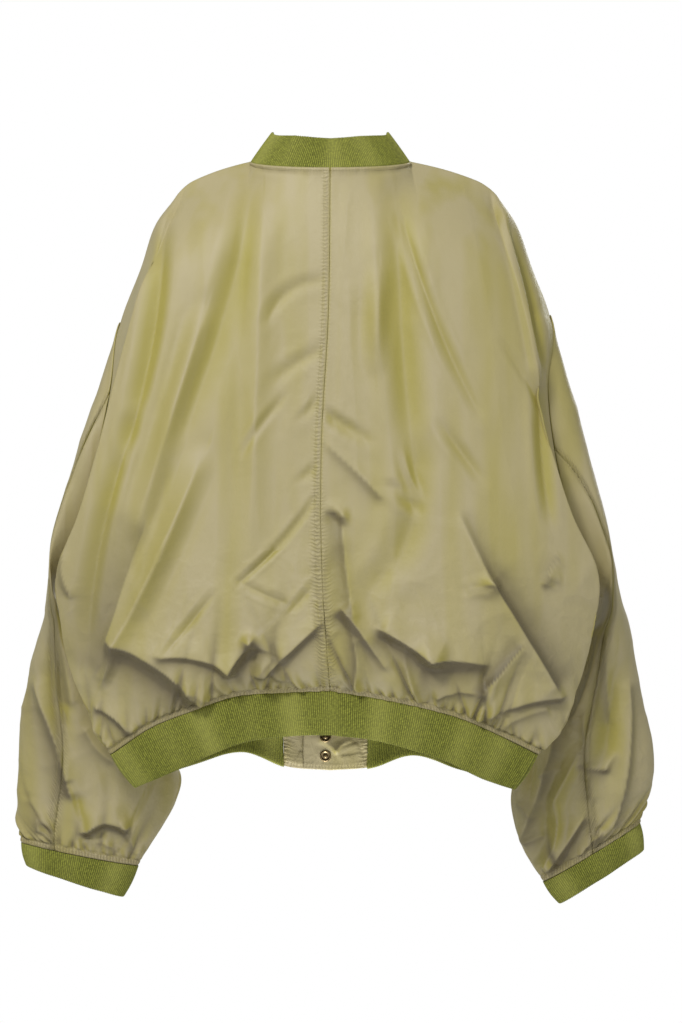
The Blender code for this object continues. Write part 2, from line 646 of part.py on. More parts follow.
def collar_line(sheets):
    """Neck seam along the panels' own edges, from one end at the front round to the other."""
    halves = []
    for side in (1, -1):
        front = sheets[sided(side, "front")][0, :FRONT_COLUMNS[0] + 1]
        back = sheets[sided(side, "back")][0, :BACK_COLUMNS[0] + 1]
        outward = side * front[:, 0]
        start = np.interp(COLLAR_OPENING, outward, np.arange(len(front)))
        halves.append(np.concatenate([cut(front, start, len(front) - 1.0), back[::-1][1:]]))
    return np.concatenate([halves[0], halves[1][::-1][1:]])


def collar(sheets):
    """Rib collar that stands on the neck seam and leans in."""
    seam = collar_line(sheets)
    count = rib_columns(seam) + 1
    seam = resample(seam, count)
    frontness = smooth((seam[:, 1] - NECK_BACK_Y) / (NECK_FRONT_Y - NECK_BACK_Y))
    height = COLLAR_HEIGHT_BACK + (COLLAR_HEIGHT_FRONT - COLLAR_HEIGHT_BACK) * frontness
    inward = unit(np.stack([-seam[:, 0], -seam[:, 1], np.zeros(count)], axis=-1))
    upright = np.array([0.0, 0.0, 1.0])
    along = unit(np.gradient(seam, axis=0))
    rising = unit(upright - along[:, 2:] * along)
    rows = []
    for share in (0.0, 0.5, 1.0):
        lean = COLLAR_LEAN * share * (COLLAR_SLOPE + COLLAR_CURVE * share)
        rows.append(seam + inward * lean + rising * COLLAR_LIFT + upright * height[:, None] * share)
    band = np.array(rows)
    ribbed("collar_rib", band, surface_normals(band, band.mean(axis=(0, 1))))


def hem_band(sheets):
    """Rib and tabs of the hem, hung from the lower edges of the four panels."""
    lower, tabs = {}, {}
    for side in (-1, 1):
        back = sheets[sided(side, "back")][-1]
        front = sheets[sided(side, "front")][-1][::-1]
        edge = []
        for points, table in ((back, HEM_BACK), (front, HEM_FRONT)):
            span = HEM_HALF_WIDTH[side]
            share = np.abs(points[:, 0]) / span
            down = points.copy()
            keep = HEM_TAPER + (1 - HEM_TAPER) * (1 - smooth(share))
            down[:, 0] *= keep
            down[:, 1] *= HEM_DEPTH_TAPER
            down[:, 2] = hem_height(table, side, "edge", share)
            edge.append(down)
        lower[side] = (np.concatenate([back, front[1:]]), np.concatenate([edge[0], edge[1][1:]]))
    whole = [np.concatenate([lower[-1][k][::-1], lower[1][k][1:]]) for k in (0, 1)]
    start = split_at(whole[0], -TAB_EDGE[-1], True)
    end = split_at(whole[0], TAB_EDGE[1], False)
    top, low = (cut(line, start, end) for line in whole)
    count = rib_columns(top) + 1
    top, low = resample(top, count), resample(low, count)
    top = top - [0, 0, RIB_DROP]
    band = np.array([top, low])
    band[:, 0] += unit(band[:, 1] - band[:, 0]) * SEAM_GAP / 2
    band[:, -1] += unit(band[:, -2] - band[:, -1]) * SEAM_GAP / 2
    ribbed("hem_rib", band, surface_normals(band, band.mean(axis=(0, 1))))
    for side, first, last in ((-1, 0.0, start), (1, end, len(whole[0]) - 1.0)):
        top, low = (resample(cut(line, first, last), TAB_COLUMNS) for line in whole)
        band = np.array([top - [0, 0, RIB_DROP], low])
        joined = -1 if side < 0 else 0
        other = -2 if side < 0 else 1
        band[:, joined] += unit(band[:, other] - band[:, joined]) * SEAM_GAP / 2
        normal = surface_normals(band, band.mean(axis=(0, 1)) - [0, NECK_FRONT_Y, 0])
        wall(sided(side, "hem_tab"), band + normal * CLOTH / 2, band - normal * CLOTH / 2, SHELL)
        tabs[side] = band
    return tabs


def split_at(line, x, left):
    """Fractional place on a line, counted from its left front end, where it passes x."""
    half = len(line) // 2
    places = range(half) if left else range(half, len(line) - 1)
    for k in (places if left else reversed(places)):
        low, high = sorted((line[k, 0], line[k + 1, 0]))
        if line[k, 1] > 0 and low <= x <= high:
            return k + (x - line[k, 0]) / (line[k + 1, 0] - line[k, 0])
    raise ValueError("the hem line does not pass there")


def cut(line, start, end):
    """The stretch of a line between two fractional places."""
    at = np.concatenate([[start], np.arange(np.floor(start) + 1, np.ceil(end)), [end]])
    return np.stack([np.interp(at, np.arange(len(line)), line[:, k]) for k in range(3)], axis=-1)


def cuff(side, seam_ring):
    """Rib cuff hung from a sleeve's last ring."""
    up, out = loop_shares()
    edge = ring_points(side, CUFF_EDGE[side], up, out)
    count = rib_columns(seam_ring) + 1
    fine = np.array([resample(seam_ring, count), resample(edge, count)])
    fine[0] += unit(fine[1] - fine[0]) * RIB_DROP
    ribbed(sided(side, "cuff"), fine, surface_normals(fine, fine[:, :-1].mean(axis=(0, 1)), True), True)


def snaps(sheets, tabs):
    """Caps outside the left front, backs inside the right front, each flat on its own facet."""
    for number, z in enumerate(SNAP_Z, start=1):
        for kind, side, facing in (("cap", -1, 1.0), ("back", 1, -1.0)):
            points = tabs[side] if z < TAB_TOP_Z else sheets[sided(side, "front")]
            lower, upper = facet(points, SNAP_X, z)
            slope = np.arctan2(upper[1] - lower[1], upper[2] - lower[2])
            share = 0.5 if z > TAB_TOP_Z else (z - lower[2]) / (upper[2] - lower[2])
            middle = lower + (upper - lower) * share
            outward = np.array([0.0, np.cos(slope), -np.sin(slope)]) * facing
            centre = middle + outward * (CLOTH / 2 + SNAP_SEAT + SNAP_HEIGHT / 2)
            bm = bmesh.new()
            bmesh.ops.create_cone(bm, cap_ends=True, segments=SNAP_SIDES, radius1=SNAP_RADIUS * MM,
                                  radius2=SNAP_RADIUS * SNAP_TAPER * MM, depth=SNAP_HEIGHT * MM)
            turn = Matrix.Rotation(-np.pi / 2 * facing - slope, 3, "X")
            bmesh.ops.rotate(bm, verts=bm.verts[:], matrix=turn)
            bmesh.ops.translate(bm, verts=bm.verts[:], vec=centre * MM)
            add_object(f"snap_{kind}_{number}", bm, METAL)


def facet(points, x, z):
    """Lower and upper point, at x, of the row of facets that holds the height z."""
    edge = [np.array([x] + [np.interp(x, *ordered(row[:, 0], row[:, k])) for k in (1, 2)]) for row in points]
    heights = np.array([point[2] for point in edge])
    k = int(np.argmin(np.abs((heights[1:] + heights[:-1]) / 2 - z)))
    return edge[k + 1], edge[k]


def ordered(xs, ys):
    order = np.argsort(xs)
    return xs[order], ys[order]


def body_centre(points):
    """A line down the middle of the body, at each point's own height."""
    centre = np.zeros_like(points)
    centre[..., 1] = 6.0
    centre[..., 2] = points[..., 2] * 0.85 - 60.0
    return centre


def build():
    sheets, normals = {}, {}
    for side in (-1, 1):
        back, front = back_panel(side), front_panel(side)
        sheets[sided(side, "back")] = back
        sheets[sided(side, "front")] = front
        normals[sided(side, "back")] = surface_normals(back, body_centre(back))
        normals[sided(side, "front")] = surface_normals(front, body_centre(front))
    tubes = {side: whole_sleeve(side) for side in (-1, 1)}
    for side, tube in tubes.items():
        normal = surface_normals(tube, tube[:, :-1].mean(axis=1, keepdims=True), True)
        seam, under = SLEEVE_SEAM[side], ARMHOLE_ROWS
        outer = list(range(under, 2 * under)) + list(range(0, seam + 1))
        inner = list(range(seam, under + 1))
        for name, places in (("sleeve_outer", outer), ("sleeve_under", inner)):
            sheets[sided(side, name)] = tube[:, places]
            normals[sided(side, name)] = normal[:, places]
    drawn = sew(sheets, normals)
    for name, points in drawn.items():
        half = normals[name] * CLOTH / 2
        wall(name, points + half, points - half, SHELL, tip=name.startswith(("back", "front")))
    collar(sheets)
    tabs = hem_band(sheets)
    for side, tube in tubes.items():
        cuff(side, tube[-1])
    snaps(sheets, tabs)


for old in list(bpy.data.objects):
    bpy.data.objects.remove(old, do_unlink=True)
collection = bpy.data.collections.new("bomber jacket")
bpy.context.scene.collection.children.link(collection)
build()
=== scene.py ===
"""Bomber jacket of crisp two-tone nylon with knitted rib trims, hung and filled out.

Metres, +Z up, the back facing -Y and the wearer's right at +X.  Tables are in millimetres, and
side -1 is the wearer's left.
"""
import math

from collections import namedtuple

import bmesh
import bpy
import numpy as np
from mathutils import Matrix, Vector


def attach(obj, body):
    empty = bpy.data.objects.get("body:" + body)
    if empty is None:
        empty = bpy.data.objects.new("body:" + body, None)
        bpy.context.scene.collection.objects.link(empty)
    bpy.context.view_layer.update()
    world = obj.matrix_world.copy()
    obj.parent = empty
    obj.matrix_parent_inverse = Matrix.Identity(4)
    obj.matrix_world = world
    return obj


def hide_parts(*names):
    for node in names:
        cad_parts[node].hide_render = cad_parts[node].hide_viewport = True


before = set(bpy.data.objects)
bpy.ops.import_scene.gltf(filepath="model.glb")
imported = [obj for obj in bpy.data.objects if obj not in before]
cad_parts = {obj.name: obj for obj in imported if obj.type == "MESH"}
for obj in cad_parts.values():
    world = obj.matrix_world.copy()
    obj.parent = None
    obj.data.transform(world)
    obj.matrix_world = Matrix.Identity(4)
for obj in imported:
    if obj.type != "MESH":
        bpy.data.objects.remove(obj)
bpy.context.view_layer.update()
scene = bpy.context.scene

# ----------------------------------------------------------------------
# The place where the jacket is shown: a pale floor well below it, soft light from above and from
# the left, and a camera straight behind the back, level with its middle.
# ----------------------------------------------------------------------
CAMERA_PLACE = (0.013, -3.26, -0.416)
CAMERA_DISTANCE = 3.2  # to the back, where the view is this tall:
VIEW_HEIGHT = 1.2276
FLOOR_HALF_SIZE = 1.5
FLOOR_Z = -1.35
SKY_STRENGTH = 0.40
WHITE = (1, 1, 1, 1)

# `spread` is how wide a light shines, in degrees.
Light = namedtuple("Light", "name place aim size watts spread colour")
LIGHTS = [
    Light("key", (-1.0, -2.3, 1.5), (0, 0, -0.35), 0.5, 56, 180, (1.0, 0.985, 0.96)),
    Light("front", (1.1, -2.9, -0.2), (0.1, 0, -0.45), 1.4, 8, 180, (1.0, 1.0, 1.0)),
    Light("far_side", (1.3, 2.8, 0.7), (0, 0, -0.4), 1.6, 26, 180, (1.0, 0.99, 0.97)),
    Light("inside", (0, -0.06, -0.97), (0, 0.07, -0.71), 0.14, 0.2, 70, (1.0, 1.0, 1.0)),
]


def painted(name, values):
    """A material with values on its shader's own sockets, its node tree and its shader."""
    made = bpy.data.materials.new(name)
    made.use_nodes = True
    shader = made.node_tree.nodes["Principled BSDF"]
    for socket, value in values.items():
        shader.inputs[socket].default_value = value
    return made, made.node_tree, shader


def meshed(name, bm):
    """The mesh of a finished bmesh."""
    mesh = bpy.data.meshes.new(name)
    bm.to_mesh(mesh)
    bm.free()
    return mesh


def placed(name, mesh, material):
    """An object of a mesh in its material, at the origin."""
    mesh.materials.append(material)
    made = bpy.data.objects.new(name, mesh)
    scene.collection.objects.link(made)
    return made


camera = bpy.data.objects.new("camera", bpy.data.cameras.new("camera"))
camera.location = CAMERA_PLACE
camera.rotation_euler = (math.pi / 2, 0, 0)
camera.data.sensor_fit = "VERTICAL"
camera.data.angle = 2 * math.atan(VIEW_HEIGHT / 2 / CAMERA_DISTANCE)
scene.collection.objects.link(camera)
scene.camera = camera

for light in LIGHTS:
    lamp = bpy.data.objects.new(light.name, bpy.data.lights.new(light.name, "AREA"))
    lamp.data.size = light.size
    lamp.data.energy = light.watts
    lamp.data.spread = math.radians(light.spread)
    lamp.data.color = light.colour
    lamp.location = light.place
    lamp.rotation_euler = (Vector(light.aim) - Vector(light.place)).to_track_quat("-Z", "Y").to_euler()
    scene.collection.objects.link(lamp)

world = bpy.data.worlds.new("studio")
world.use_nodes = True
studio = world.node_tree
sky = studio.nodes["Background"]
sky.inputs["Color"].default_value = WHITE
sky.inputs["Strength"].default_value = SKY_STRENGTH
ground = studio.nodes.new("ShaderNodeBackground")
ground.inputs["Color"].default_value = WHITE
seen = studio.nodes.new("ShaderNodeLightPath")
either = studio.nodes.new("ShaderNodeMixShader")
studio.links.new(seen.outputs["Is Camera Ray"], either.inputs["Fac"])
studio.links.new(sky.outputs["Background"], either.inputs[1])
studio.links.new(ground.outputs["Background"], either.inputs[2])
studio.links.new(either.outputs["Shader"], studio.nodes["World Output"].inputs["Surface"])
scene.world = world
scene.view_settings.view_transform = "Standard"

bm = bmesh.new()
bmesh.ops.create_grid(bm, x_segments=1, y_segments=1, size=FLOOR_HALF_SIZE)
bmesh.ops.translate(bm, verts=bm.verts[:], vec=(0, 0, FLOOR_Z))
floor_paint = painted("floor paint", {"Base Color": (0.9, 0.9, 0.9, 1), "Roughness": 0.9})[0]
floor = placed("floor", meshed("floor", bm), floor_paint)

# ----------------------------------------------------------------------
# The back: two panels of crisp nylon joined down the middle by a topstitched seam.  They fall
# from the shoulders, blouse over the rib and turn forward at the sides to meet the fronts and
# the sleeves.  Their lower edge is gathered and rolled into a stitched seam allowance.
# ----------------------------------------------------------------------
MM = 0.001
NYLON = 0.8  # the cloth's outside lies this far from the middle of its solid
NYLON_THICK = 0.9
WELD = 2e-6  # points this close, in metres, are one

NECK_HALF_WIDTH = 97.0
NECK_BACK_Y = -62.0
NECK_FRONT_Y = 72.0
NECK_BACK_Z = -3.0
NECK_SIDE_Z = 12.0
NECK_FRONT_Z = -82.0
NECK_DROP_FRONT = 1.25  # how sharply the neck line drops to the middle of the front
SHOULDER_TIP = {-1: (192.0, 5.0, -23.0), 1: (208.0, 5.0, -23.0)}
SHOULDER_ARCH = 4.0  # height of the shoulder seam's arch
SHOULDER_BLEND = 0.21  # share of the length over which the shoulder line turns into the panels
SHOULDER_EASE = 2.4  # how fast it does so over the shoulder
TIP_EASE = 12.0  # and how much faster at its tip
TIP_START = 0.72  # share of the shoulder seam where its tip starts to round off
TIP_ROUNDING = 7.0  # how far the soft cloth sinks at the tip
TIP_NARROWING = 3.0  # and how far it draws in
OVERLAP = {-1: 22.0, 1: 34.0}  # how far each front reaches past the middle
PLACKET_FLAT = 36.0  # half width of the flat middle of the fronts
HEM_SIDE_Z = -708.0
ARMHOLE_HALF_DEPTH = 38.0
ARMHOLE_Z = {-1: (-184.0, -489.0), 1: (-175.0, -506.0)}
NECK_SHARE = 0.42  # a panel's upper edge is neck up to this share of its width,
NECK_END = NECK_SHARE + 0.002  # with the column that ends it,
FOLD_SHARE = 0.80  # and the fold of the side lies at this one
SHOULDER_SPLIT = 2 / 3  # share of the shoulder seam that lies inside the fold of the side
FOLD_TOP_X = 12.0  # the fold of the side starts this far inside the shoulder's tip
BACK_FLATNESS = 3.5  # the higher, the flatter the back before it rounds away

# One row for each level of the body, z being its height at the side.
Level = namedtuple("Level", "z back fold_y fold_left fold_right seam_left seam_right seam_y front tuck")
LEVELS = [
    Level(-23, -62, -20, 184, 197, 192, 208, 5, 60, 0),
    Level(-60, -70, -36, 200, 206, 214, 228, 5, 66, 2),
    Level(-110, -77, -48, 214, 215, 231, 246, 5, 72, 8),
    Level(-184, -83, -56, 235, 232, 258, 271, 6, 78, 8),
    Level(-260, -87, -60, 258, 249, 266, 264, 9, 82, 7),
    Level(-340, -90, -62, 278, 264, 281, 272, 13, 84, 5),
    Level(-420, -92, -62, 302, 290, 297, 290, 18, 86, 1),
    Level(-497, -96, -50, 331, 324, 308, 308, 24, 88, -3),
    Level(-550, -101, -40, 326, 320, 312, 310, 20, 86, -4),
    Level(-600, -105, -36, 316, 308, 306, 302, 15, 84, -4),
    Level(-650, -104, -36, 297, 291, 292, 288, 11, 82, -4),
    Level(-690, -90, -42, 276, 270, 275, 270, 7, 74, -3),
    Level(-708, -72, -44, 262, 248, 263, 248, 5, 64, -2),
]

# Hem seam and lower edge of the rib, along the half width (0 centre, 1 side).
Hem = namedtuple("Hem", "across seam_left seam_right edge_left edge_right")
HEM_BACK = [
    Hem(0.00, -630, -630, -682, -682),
    Hem(0.20, -632, -638, -684, -688),
    Hem(0.45, -638, -651, -694, -703),
    Hem(0.62, -654, -663, -710, -716),
    Hem(0.82, -676, -685, -730, -736),
    Hem(1.00, -708, -708, -748, -750),
]
# Heights down the middle seam of the back, and how far it wanders sideways there.
CENTRE_SEAM = [(-3, 0), (-180, -2), (-330, -10), (-430, -11), (-520, -8), (-630, 0)]


def table(kind, left, right):
    """Rows of a kind for the left and for the right side."""
    return {-1: [kind(*row) for row in left], 1: [kind(*row) for row in right]}


# Creases of the back.  A crease runs from one end to the other, bowed sideways by `bend`; it
# stands out or sinks in by `rise`, `left` and `right` are its half widths, and `crisp` says how
# sharp its crest is.
Crease = namedtuple("Crease", "x0 z0 x1 z1 bend rise left right crisp")
BACK_CREASES = table(Crease, left=(
    (-96, -45, -167, -307, -6, -5, 19, 14, 0.1), (-81, -57, -96, -474, -1, 4, 14, 12, 0.3),
    (-203, -93, -238, -319, -7, -6, 10, 11, 0.3), (-238, -319, -292, -569, 9, -5, 8, 11, 0.3),
    (-155, -200, -226, -426, 0, 6, 10, 12, 0.4), (-160, -370, -262, -592, -4, 9, 11, 13, 0.5),
    (-259, -585, -270, -618, -2, 5, 5, 6, 0.7), (-12, -142, -74, -188, 12, -2.5, 6, 8, 0.6),
    (-12, -226, -62, -257, 2, -2.5, 6, 8, 0.6), (-57, -283, -101, -343, 2, -2.2, 4, 5, 0.8),
    (-15, -283, -36, -305, -1, -2, 5, 5, 0.8), (-15, -361, -36, -378, -1, -2, 5, 5, 0.8),
    (-18, -402, -106, -499, -5, -3.4, 3.5, 4.5, 0.9), (-101, -503, -48, -526, 1, -2, 5, 5, 0.8),
    (-24, -509, -48, -536, 0, -2, 5, 5, 0.8), (-141, -517, -193, -583, 0, -2.2, 4, 5, 0.7),
), right=(
    (81, -45, 101, -367, 5, -6, 17, 15, 0.1), (101, -367, 45, -512, -20, -4.5, 16, 16, 0.1),
    (59, -146, 56, -230, 1, 4, 8, 11, 0.2), (89, -69, 176, -295, 8, -3, 6, 7, 0.7),
    (-10, -295, 40, -327, 1, -4, 6, 8, 0.6), (-10, -417, 15, -438, -6, -3, 6, 7, 0.6),
    (63, -387, 85, -392, -2, -3, 6, 6, 0.5), (82, -401, 102, -412, -1, -3, 6, 6, 0.5),
    (89, -350, 104, -392, 2, 2.5, 4, 5, 0.8), (210, -219, 251, -286, -1, -2, 5, 5, 0.7),
    (137, -319, 178, -375, 0, -3, 7, 7, 0.5), (164, -509, 192, -509, -4, -2, 5, 5, 0.6),
    (209, -52, 252, -262, -3, 5, 5, 6, 0.5), (220, -78, 256, -236, -3, -8, 6, 8, 0.4),
    (252, -262, 262, -420, 2, -5, 7, 8, 0.4),
))

# Folds of the back.  A fold runs from one end to the other with a crest on its line: the cloth
# comes up to it over `near` on the left hand and drops behind it over `far` on the right hand.
# `start` and `end` are its strengths at the two ends.
Fold = namedtuple("Fold", "x0 z0 x1 z1 bend rise near far start end")
BACK_FOLDS = table(Fold, left=(
    (-222, -440, -272, -600, 4, 3.4, 14, 34, 0.6, 1), (-256, -576, -161, -640, -8, 8, 26, 21, 0.9, 0.9),
    (-198, -589, -119, -606, -7, 7, 18, 10, 0.5, 1), (-122, -606, -95, -572, 0, 7.5, 10, 14, 0.9, 1),
    (-96, -572, -61, -585, 0, 5, 12, 13, 1, 0.3), (-74, -605, -1, -540, 0, 6, 16, 9, 1, 0.7),
    (-87, -608, -36, -624, -4, 4.5, 9, 8, 1, 0.6), (-100, -630, -69, -592, -4, 3, 6, 5, 0.6, 1),
    (-279, -654, -241, -682, -5, 6, 16, 8, 0.7, 1), (-169, -628, -138, -646, -2, 3, 6, 5, 1, 0.4),
    (-138, -618, -116, -637, 2, 3, 5, 5, 0.6, 1), (-321, -474, -313, -514, 4, 4, 8, 9, 0.6, 0.9),
    (-48, -526, -81, -561, -2, 2.2, 7, 8, 0.7, 0.7),
), right=(
    (13, -423, 26, -538, 1, 4, 10, 13, 0.9, 0.7), (-10, -419, 14, -424, -5, 4, 11, 8, 0.7, 1),
    (17, -536, 63, -598, -1, 7, 14, 11, 1, 0.4), (18, -542, 27, -628, -8, 5, 9, 8, 0.8, 1),
    (66, -560, 120, -593, -1, 8.5, 22, 12, 0.8, 1), (116, -592, 180, -597, -2, 8, 20, 20, 1, 0.5),
    (88, -580, 97, -630, 2, 3.5, 7, 7, 0.6, 0.8), (225, -580, 180, -633, 0, 6, 13, 9, 0.7, 1),
    (128, -637, 183, -633, -5, 4, 7, 6, 1, 0.8), (178, -666, 275, -640, -6, 6, 18, 8, 0.5, 0.9),
    (199, -678, 259, -654, -4, 3.5, 6, 5, 0.7, 0.7), (266, -623, 192, -502, 1, 6, 18, 15, 0.9, 0.9),
    (195, -507, 157, -426, 0, 5, 14, 10, 1, 0.3), (166, -509, 198, -504, -2, 3, 9, 8, 0.3, 0.8),
    (-10, -332, 58, -396, -1, 3.6, 10, 7, 0.4, 0.8), (273, -474, 259, -502, 4, 3.5, 8, 7, 0.6, 0.8),
    (255, -502, 273, -497, -4, 3, 7, 6, 0.8, 0.6), (38, -569, 50, -628, 2, 3, 7, 6, 0.6, 0.6),
))


def smooth(t):
    """0 up to 0 and 1 from 1, with an eased rise between them."""
    t = np.clip(t, 0.0, 1.0)
    return t * t * (3.0 - 2.0 * t)


def bell(distance, width):
    """1 on a line, falling away to both sides over a width."""
    return np.exp(-(distance / width) ** 2)


def fall(distance, reach, power=1.5):
    """1 up to a line, falling away past it over a reach."""
    return np.exp(-(np.maximum(distance, 0) / reach) ** power)


def through(xs, ys, at):
    """Value at `at` of a smooth curve through the points, flat beyond its ends."""
    xs = np.asarray(xs, float)
    ys = np.asarray(ys, float)
    if xs[0] > xs[-1]:
        xs, ys = xs[::-1], ys[::-1]
    at = np.clip(at, xs[0], xs[-1])
    step = np.diff(xs)
    rise = np.diff(ys) / step
    slope = np.empty_like(ys)
    slope[0], slope[-1] = rise[0], rise[-1]
    slope[1:-1] = (rise[:-1] * step[1:] + rise[1:] * step[:-1]) / (step[:-1] + step[1:])
    k = np.clip(np.searchsorted(xs, at, side="right") - 1, 0, len(step) - 1)
    t = (at - xs[k]) / step[k]
    start, end = ys[k], ys[k + 1]
    a, b = slope[k] * step[k], slope[k + 1] * step[k]
    return start + t * (a + t * (3 * (end - start) - 2 * a - b + t * (2 * (start - end) + a + b)))


def unit(vectors):
    return vectors / np.maximum(np.linalg.norm(vectors, axis=-1, keepdims=True), 1e-9)


def sided(side, name):
    return name + ("_left" if side < 0 else "_right")


def level(column, z):
    """A column of the levels at the heights z."""
    return through([row.z for row in LEVELS], [getattr(row, column) for row in LEVELS], z)


def hem_height(rows, side, line, across):
    """Height of the hem's seam or edge at a share of its half width."""
    heights = [getattr(row, sided(side, line)) for row in rows]
    return through([row.across for row in rows], heights, across)


END_STEP = 0.9  # of the mesh beside its edges


def shares(count, fine_ends, total, low_part=0.0, low_count=0):
    """Steps from 0 to 1: `fine_ends` short ones at both ends of a length, and between them `count`
    even ones, with `low_count` closer ones over the low part."""
    ends = np.arange(1, fine_ends + 1) * END_STEP / total
    split = 1 - low_part if low_count else 1 - ends[-1]
    upper = np.linspace(ends[-1], split, count)
    lower = np.linspace(split, 1 - ends[-1], low_count + 1)[1:]
    return np.unique(np.concatenate([[0], ends[:-1], upper, lower, 1 - ends[:-1], [1]]))


def armhole_half_depth(side, z):
    """How far the armhole reaches forward and back at a height."""
    top, low = ARMHOLE_Z[side]
    share = (z - (top + low) / 2) / ((top - low) / 2)
    return ARMHOLE_HALF_DEPTH * np.sqrt(np.clip(1.0 - share ** 2, 0.0, 1.0))


def shoulder_line(side, share):
    """Shoulder seam from the neck (share 0) to its tip, rounded off at the tip."""
    tip_x, tip_y, tip_z = SHOULDER_TIP[side]
    fold_x = tip_x - FOLD_TOP_X
    inner = NECK_HALF_WIDTH + (fold_x - NECK_HALF_WIDTH) * share / SHOULDER_SPLIT
    outer = fold_x + FOLD_TOP_X * (share - SHOULDER_SPLIT) / (1 - SHOULDER_SPLIT)
    x = np.where(share < SHOULDER_SPLIT, inner, outer)
    along = (x - NECK_HALF_WIDTH) / (tip_x - NECK_HALF_WIDTH)
    z = NECK_SIDE_Z + (tip_z - NECK_SIDE_Z) * along + SHOULDER_ARCH * np.sin(np.pi * along)
    rounding = np.clip((along - TIP_START) / (1 - TIP_START), 0, 1) ** 2
    return side * (x - TIP_NARROWING * rounding), tip_y * along, z - TIP_ROUNDING * rounding


def neck_line(angle, front):
    """Neck seam at an angle from its middle (0) to the shoulder (90 degrees)."""
    depth, middle_z, sharpness = (NECK_BACK_Y, NECK_BACK_Z, 1.0)
    if front:
        depth, middle_z, sharpness = (NECK_FRONT_Y, NECK_FRONT_Z, NECK_DROP_FRONT)
    x = NECK_HALF_WIDTH * np.sin(angle)
    past_placket = np.clip((np.abs(x) - PLACKET_FLAT) / (NECK_HALF_WIDTH - PLACKET_FLAT), 0, 1)
    y = depth * (np.sqrt(1 - past_placket ** 2) if front else np.cos(angle))
    return x, y, NECK_SIDE_Z + (middle_z - NECK_SIDE_Z) * np.abs(np.cos(angle)) ** sharpness


def top_row(side, u, front):
    """Upper edge of a panel: half the neck, then the shoulder."""
    start = -np.arcsin(OVERLAP[side] / NECK_HALF_WIDTH) if front else 0.0
    angle = start + (np.pi / 2 - start) * np.clip(u / NECK_SHARE, 0, 1)
    x, y, z = neck_line(angle, front)
    inside = (u - NECK_SHARE) / (FOLD_SHARE - NECK_SHARE) * SHOULDER_SPLIT
    outside = SHOULDER_SPLIT + (u - FOLD_SHARE) / (1 - FOLD_SHARE) * (1 - SHOULDER_SPLIT)
    shoulder = shoulder_line(side, np.clip(np.where(u < FOLD_SHARE, inside, outside), 0, 1))
    return [np.where(u <= NECK_SHARE, n, s) for n, s in zip((side * x, y, z), shoulder)]


def shoulder_blend(u, v):
    """How far a panel has left its upper edge, soonest at the shoulder's tip."""
    turn = np.clip((u - FOLD_SHARE) / (1 - FOLD_SHARE), 0, 1)
    return 1.0 - (1.0 - np.clip(v / SHOULDER_BLEND, 0, 1)) ** (SHOULDER_EASE + TIP_EASE * turn ** 2)


def back_panel(side, u, v):
    """Smooth form of a back panel, u from the middle seam to the side and v from the top down."""
    tip_z = SHOULDER_TIP[side][2]
    z_side = tip_z + (HEM_SIDE_Z - tip_z) * v
    fold_x, fold_y = level(sided(side, "fold"), z_side), level("fold_y", z_side)
    seam_x = level(sided(side, "seam"), z_side)
    seam_y = level("seam_y", z_side) - armhole_half_depth(side, z_side)
    flat = np.clip(u / FOLD_SHARE, 0, 1)
    turn = np.clip((u - FOLD_SHARE) / (1 - FOLD_SHARE), 0, 1)
    outward, forward = np.sin(np.pi / 2 * turn), 1 - np.cos(np.pi / 2 * turn)
    across = np.where(u <= FOLD_SHARE, fold_x * flat, fold_x + (seam_x - fold_x) * outward)
    x = side * (across - level("tuck", z_side) * np.sin(np.pi * turn))
    y = np.where(u <= FOLD_SHARE,
                 fold_y + (level("back", z_side) - fold_y) * (1 - flat ** BACK_FLATNESS),
                 fold_y + (seam_y - fold_y) * forward)
    top_x, top_y, top_z = top_row(side, u, False)
    hem_z = hem_height(HEM_BACK, side, "seam", np.abs(x) / seam_x)
    z = top_z + (hem_z - top_z) * v
    blend = shoulder_blend(u, v)
    x = top_x + (x - top_x) * blend
    y = top_y + (y - top_y) * blend
    wander = through(*zip(*CENTRE_SEAM), z)
    return np.stack([x + wander * (1 - flat) * blend, y, z], axis=-1)


CREASE_RISE = 1.2  # height of the creases seen from behind, against their tables
CREASE_END = 0.8  # a crease runs out over this share of its two widths
CRISP_FALL = 1.7  # how fast a crisp crease falls away,
CRISP_ROUND = 0.1  # and how round its crest still is
LIP = 0.3  # cloth pushed up beside a crease, against its depth,
LIP_PLACE = 1.9  # this many half widths from its line,
LIP_WIDTH = 0.75  # this wide,
LIP_LEFT = 0.45  # and lower on the left hand
TAPER = 0.2  # height of a crease near its ends
TAPER_START = 0.06  # share of the taper's curve that lies before its start
TAPER_POWER = 0.7
FOLD_RISE = 1.2  # height of the folds against their tables
FOLD_DROP = 6.0  # a fold's back falls away over at least this far
FOLD_NEAR_POWER = 1.6  # how flat the crest is in front
FOLD_END = 0.3  # a fold runs out over this share of its two widths
HOLLOW = 0.75  # depth of the hollow behind a fold's crest, against the crest
HOLLOW_REACH = 1.15  # and its width against the fold's
SHADE_REACH = 1.5  # the shade behind a crest against the fold's width,
SHADE_EDGE = 1.2  # half the width of its edge on the crest,
SHADE_RISE = 1.5 / 8  # and its strength for each mm of the crest


def beside(line, x, z):
    """Where points lie by a crease or fold: share of its run, distance off its bowed line to the
    right hand, and distance past its ends."""
    length = math.hypot(line.x1 - line.x0, line.z1 - line.z0)
    along_x, along_z = (line.x1 - line.x0) / length, (line.z1 - line.z0) / length
    share = ((x - line.x0) * along_x + (z - line.z0) * along_z) / length
    inside = np.clip(share, 0, 1)
    bow = line.bend * 4 * inside * (1 - inside)
    off = (x - line.x0) * along_z - (z - line.z0) * along_x - bow
    return inside, off, np.maximum(np.maximum(-share, share - 1), 0) * length


